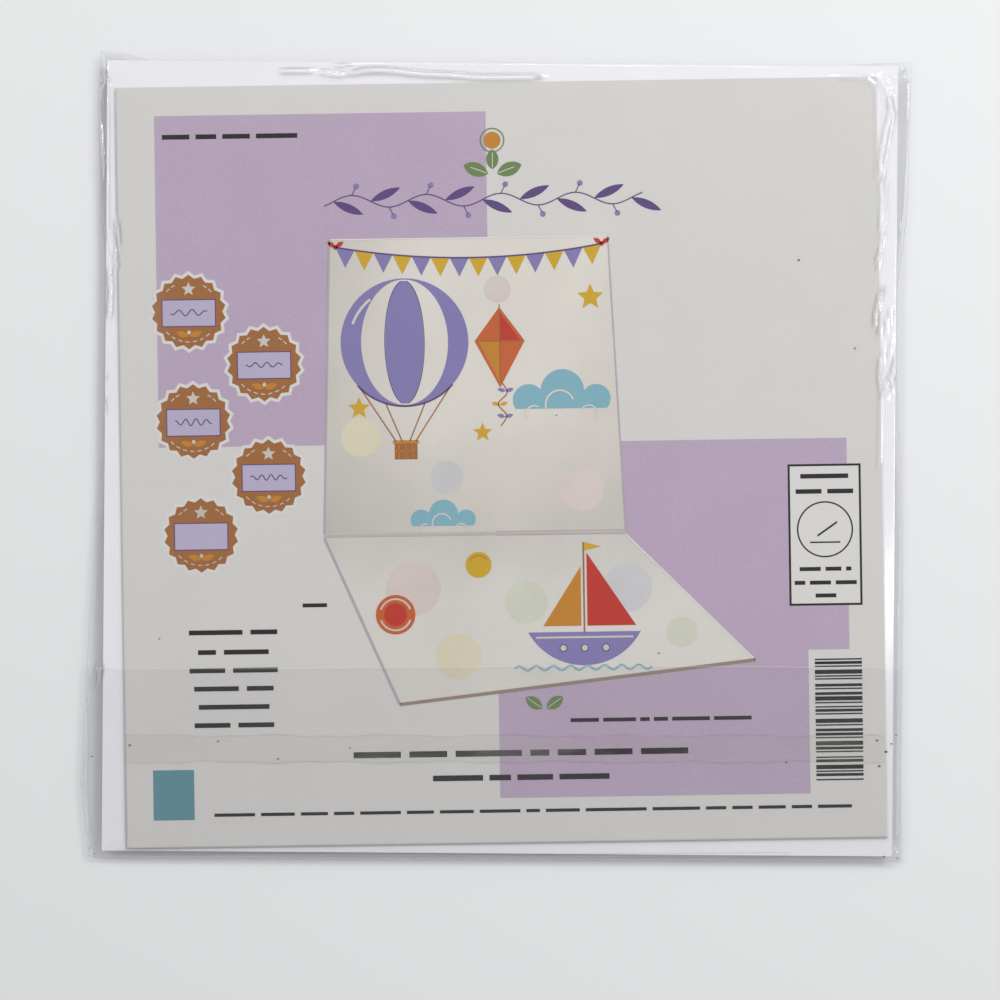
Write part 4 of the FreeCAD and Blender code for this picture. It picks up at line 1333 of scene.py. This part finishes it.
    def build_glue(self) -> None:
        """The band of glue between the front film and the flap, with a soft wavering edge."""
        low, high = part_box("adhesive_strip")
        rows = np.array([0.0, 0.03, 0.07, 0.2, 0.4, 0.6, 0.8, 0.93, 0.97, 1.0])
        strip, u, v = self._grid("glue_band", np.linspace(0, 1, 140), rows)
        waver = self.glue_waver * (np.sin(u * 41) + 0.6 * np.sin(u * 97 + 1.0))
        x = low.x + u * (high.x - low.x)
        y = low.y + v * (high.y - low.y) + waver * (2 * v - 1)
        z, _ = self.front(x, y)
        rim = np.where(np.abs(v - 0.5) > 0.46, self.glue_edge, 0.0)
        self._set(strip, x, y, z + 0.5 * self.flap_lift, rim)
        seat(strip, self.stack.materials.glue(), "adhesive_strip")

    def build_specks(self) -> None:
        """Dust caught on the film's inner side, as tiny flattened grains."""
        grains = []
        for x, y, radius in SPECKS_MM:
            z, _ = self.front(np.array([x * MM]), np.array([y * MM]))
            place = (x * MM, y * MM, float(z[0]) - self.speck_drop)
            grains.append(begin(bpy.ops.mesh.primitive_ico_sphere_add, subdivisions=2, radius=radius * MM,
                                scale=(1.0, 0.75, 0.12), location=place))
        specks = join(grains, "film_specks")
        bpy.ops.object.transform_apply(location=True, rotation=True, scale=True)
        seat(specks, self.stack.look("dust"))

    def build(self) -> None:
        """Make the bag, its flap, the glue and the dust."""
        width, tall = self.outline.high - self.outline.low
        u, v = self._steps(width), self._steps(tall)
        self.build_bag(u, v)
        self.build_flap(u, v, tall)
        self.build_glue()
        self.build_specks()


@dataclass
class Studio:
    """A pale floor, soft lamps, an even sky and the camera straight above."""

    materials: Materials
    pixel: float = 0.2087 * MM
    middle_pixel: Point = (496.0, 456.5)
    image_pixels: float = 1000.0
    lens_mm: float = 100.0
    sensor_mm: float = 36.0
    sky: float = 0.44

    def build(self) -> None:
        """Set up the floor, the sky, the lamps and the camera."""
        floor = begin(bpy.ops.mesh.primitive_plane_add, size=6.0)
        floor.name = "studio_floor"
        floor.data.materials.append(self.materials.ground())
        self._sky()
        for lamp in Lamp:
            self._lamp(lamp)
        self._camera()

    def _sky(self) -> None:
        """An even pale sky."""
        world = bpy.data.worlds.new("studio_sky")
        bpy.context.scene.world = world
        world.use_nodes = True
        background = world.node_tree.nodes["Background"]
        background.inputs["Color"].default_value = (1.0, 1.0, 1.0, 1.0)
        background.inputs["Strength"].default_value = self.sky

    @staticmethod
    def _lamp(lamp: Lamp) -> None:
        """A square soft lamp that looks at the card.

        Args:
            lamp: Which lamp.
        """
        place, size, power = lamp.value
        light = bpy.data.lights.new(f"{lamp.name.lower()}_lamp", "AREA")
        light.shape = "SQUARE"
        light.size, light.energy = size, power
        holder = bpy.data.objects.new(light.name, light)
        holder.location = place
        holder.rotation_euler = (-Vector(place)).to_track_quat("-Z", "Y").to_euler()
        bpy.context.scene.collection.objects.link(holder)

    def _camera(self) -> None:
        """The camera looks straight down with the photograph's framing."""
        data = bpy.data.cameras.new("view_camera")
        data.lens = self.lens_mm
        data.sensor_width = self.sensor_mm
        data.clip_start = 0.01
        camera = bpy.data.objects.new("view_camera", data)
        half = self.image_pixels / 2
        x = (half - self.middle_pixel[0]) * self.pixel
        y = (self.middle_pixel[1] - half) * self.pixel
        distance = self.image_pixels * self.pixel * self.lens_mm / self.sensor_mm
        camera.location = (x, y, distance + 3 * MM)
        bpy.context.scene.collection.objects.link(camera)
        bpy.context.scene.camera = camera


def main() -> None:
    """Build the pieces in order."""
    bpy.context.scene.view_settings.view_transform = "Standard"
    materials = Materials()
    Studio(materials).build()
    stack = PaperStack(materials)
    stack.dress()
    PrintDetails(stack).build()
    ClearSleeve(stack).build()


if __name__ == "__main__":
    main()
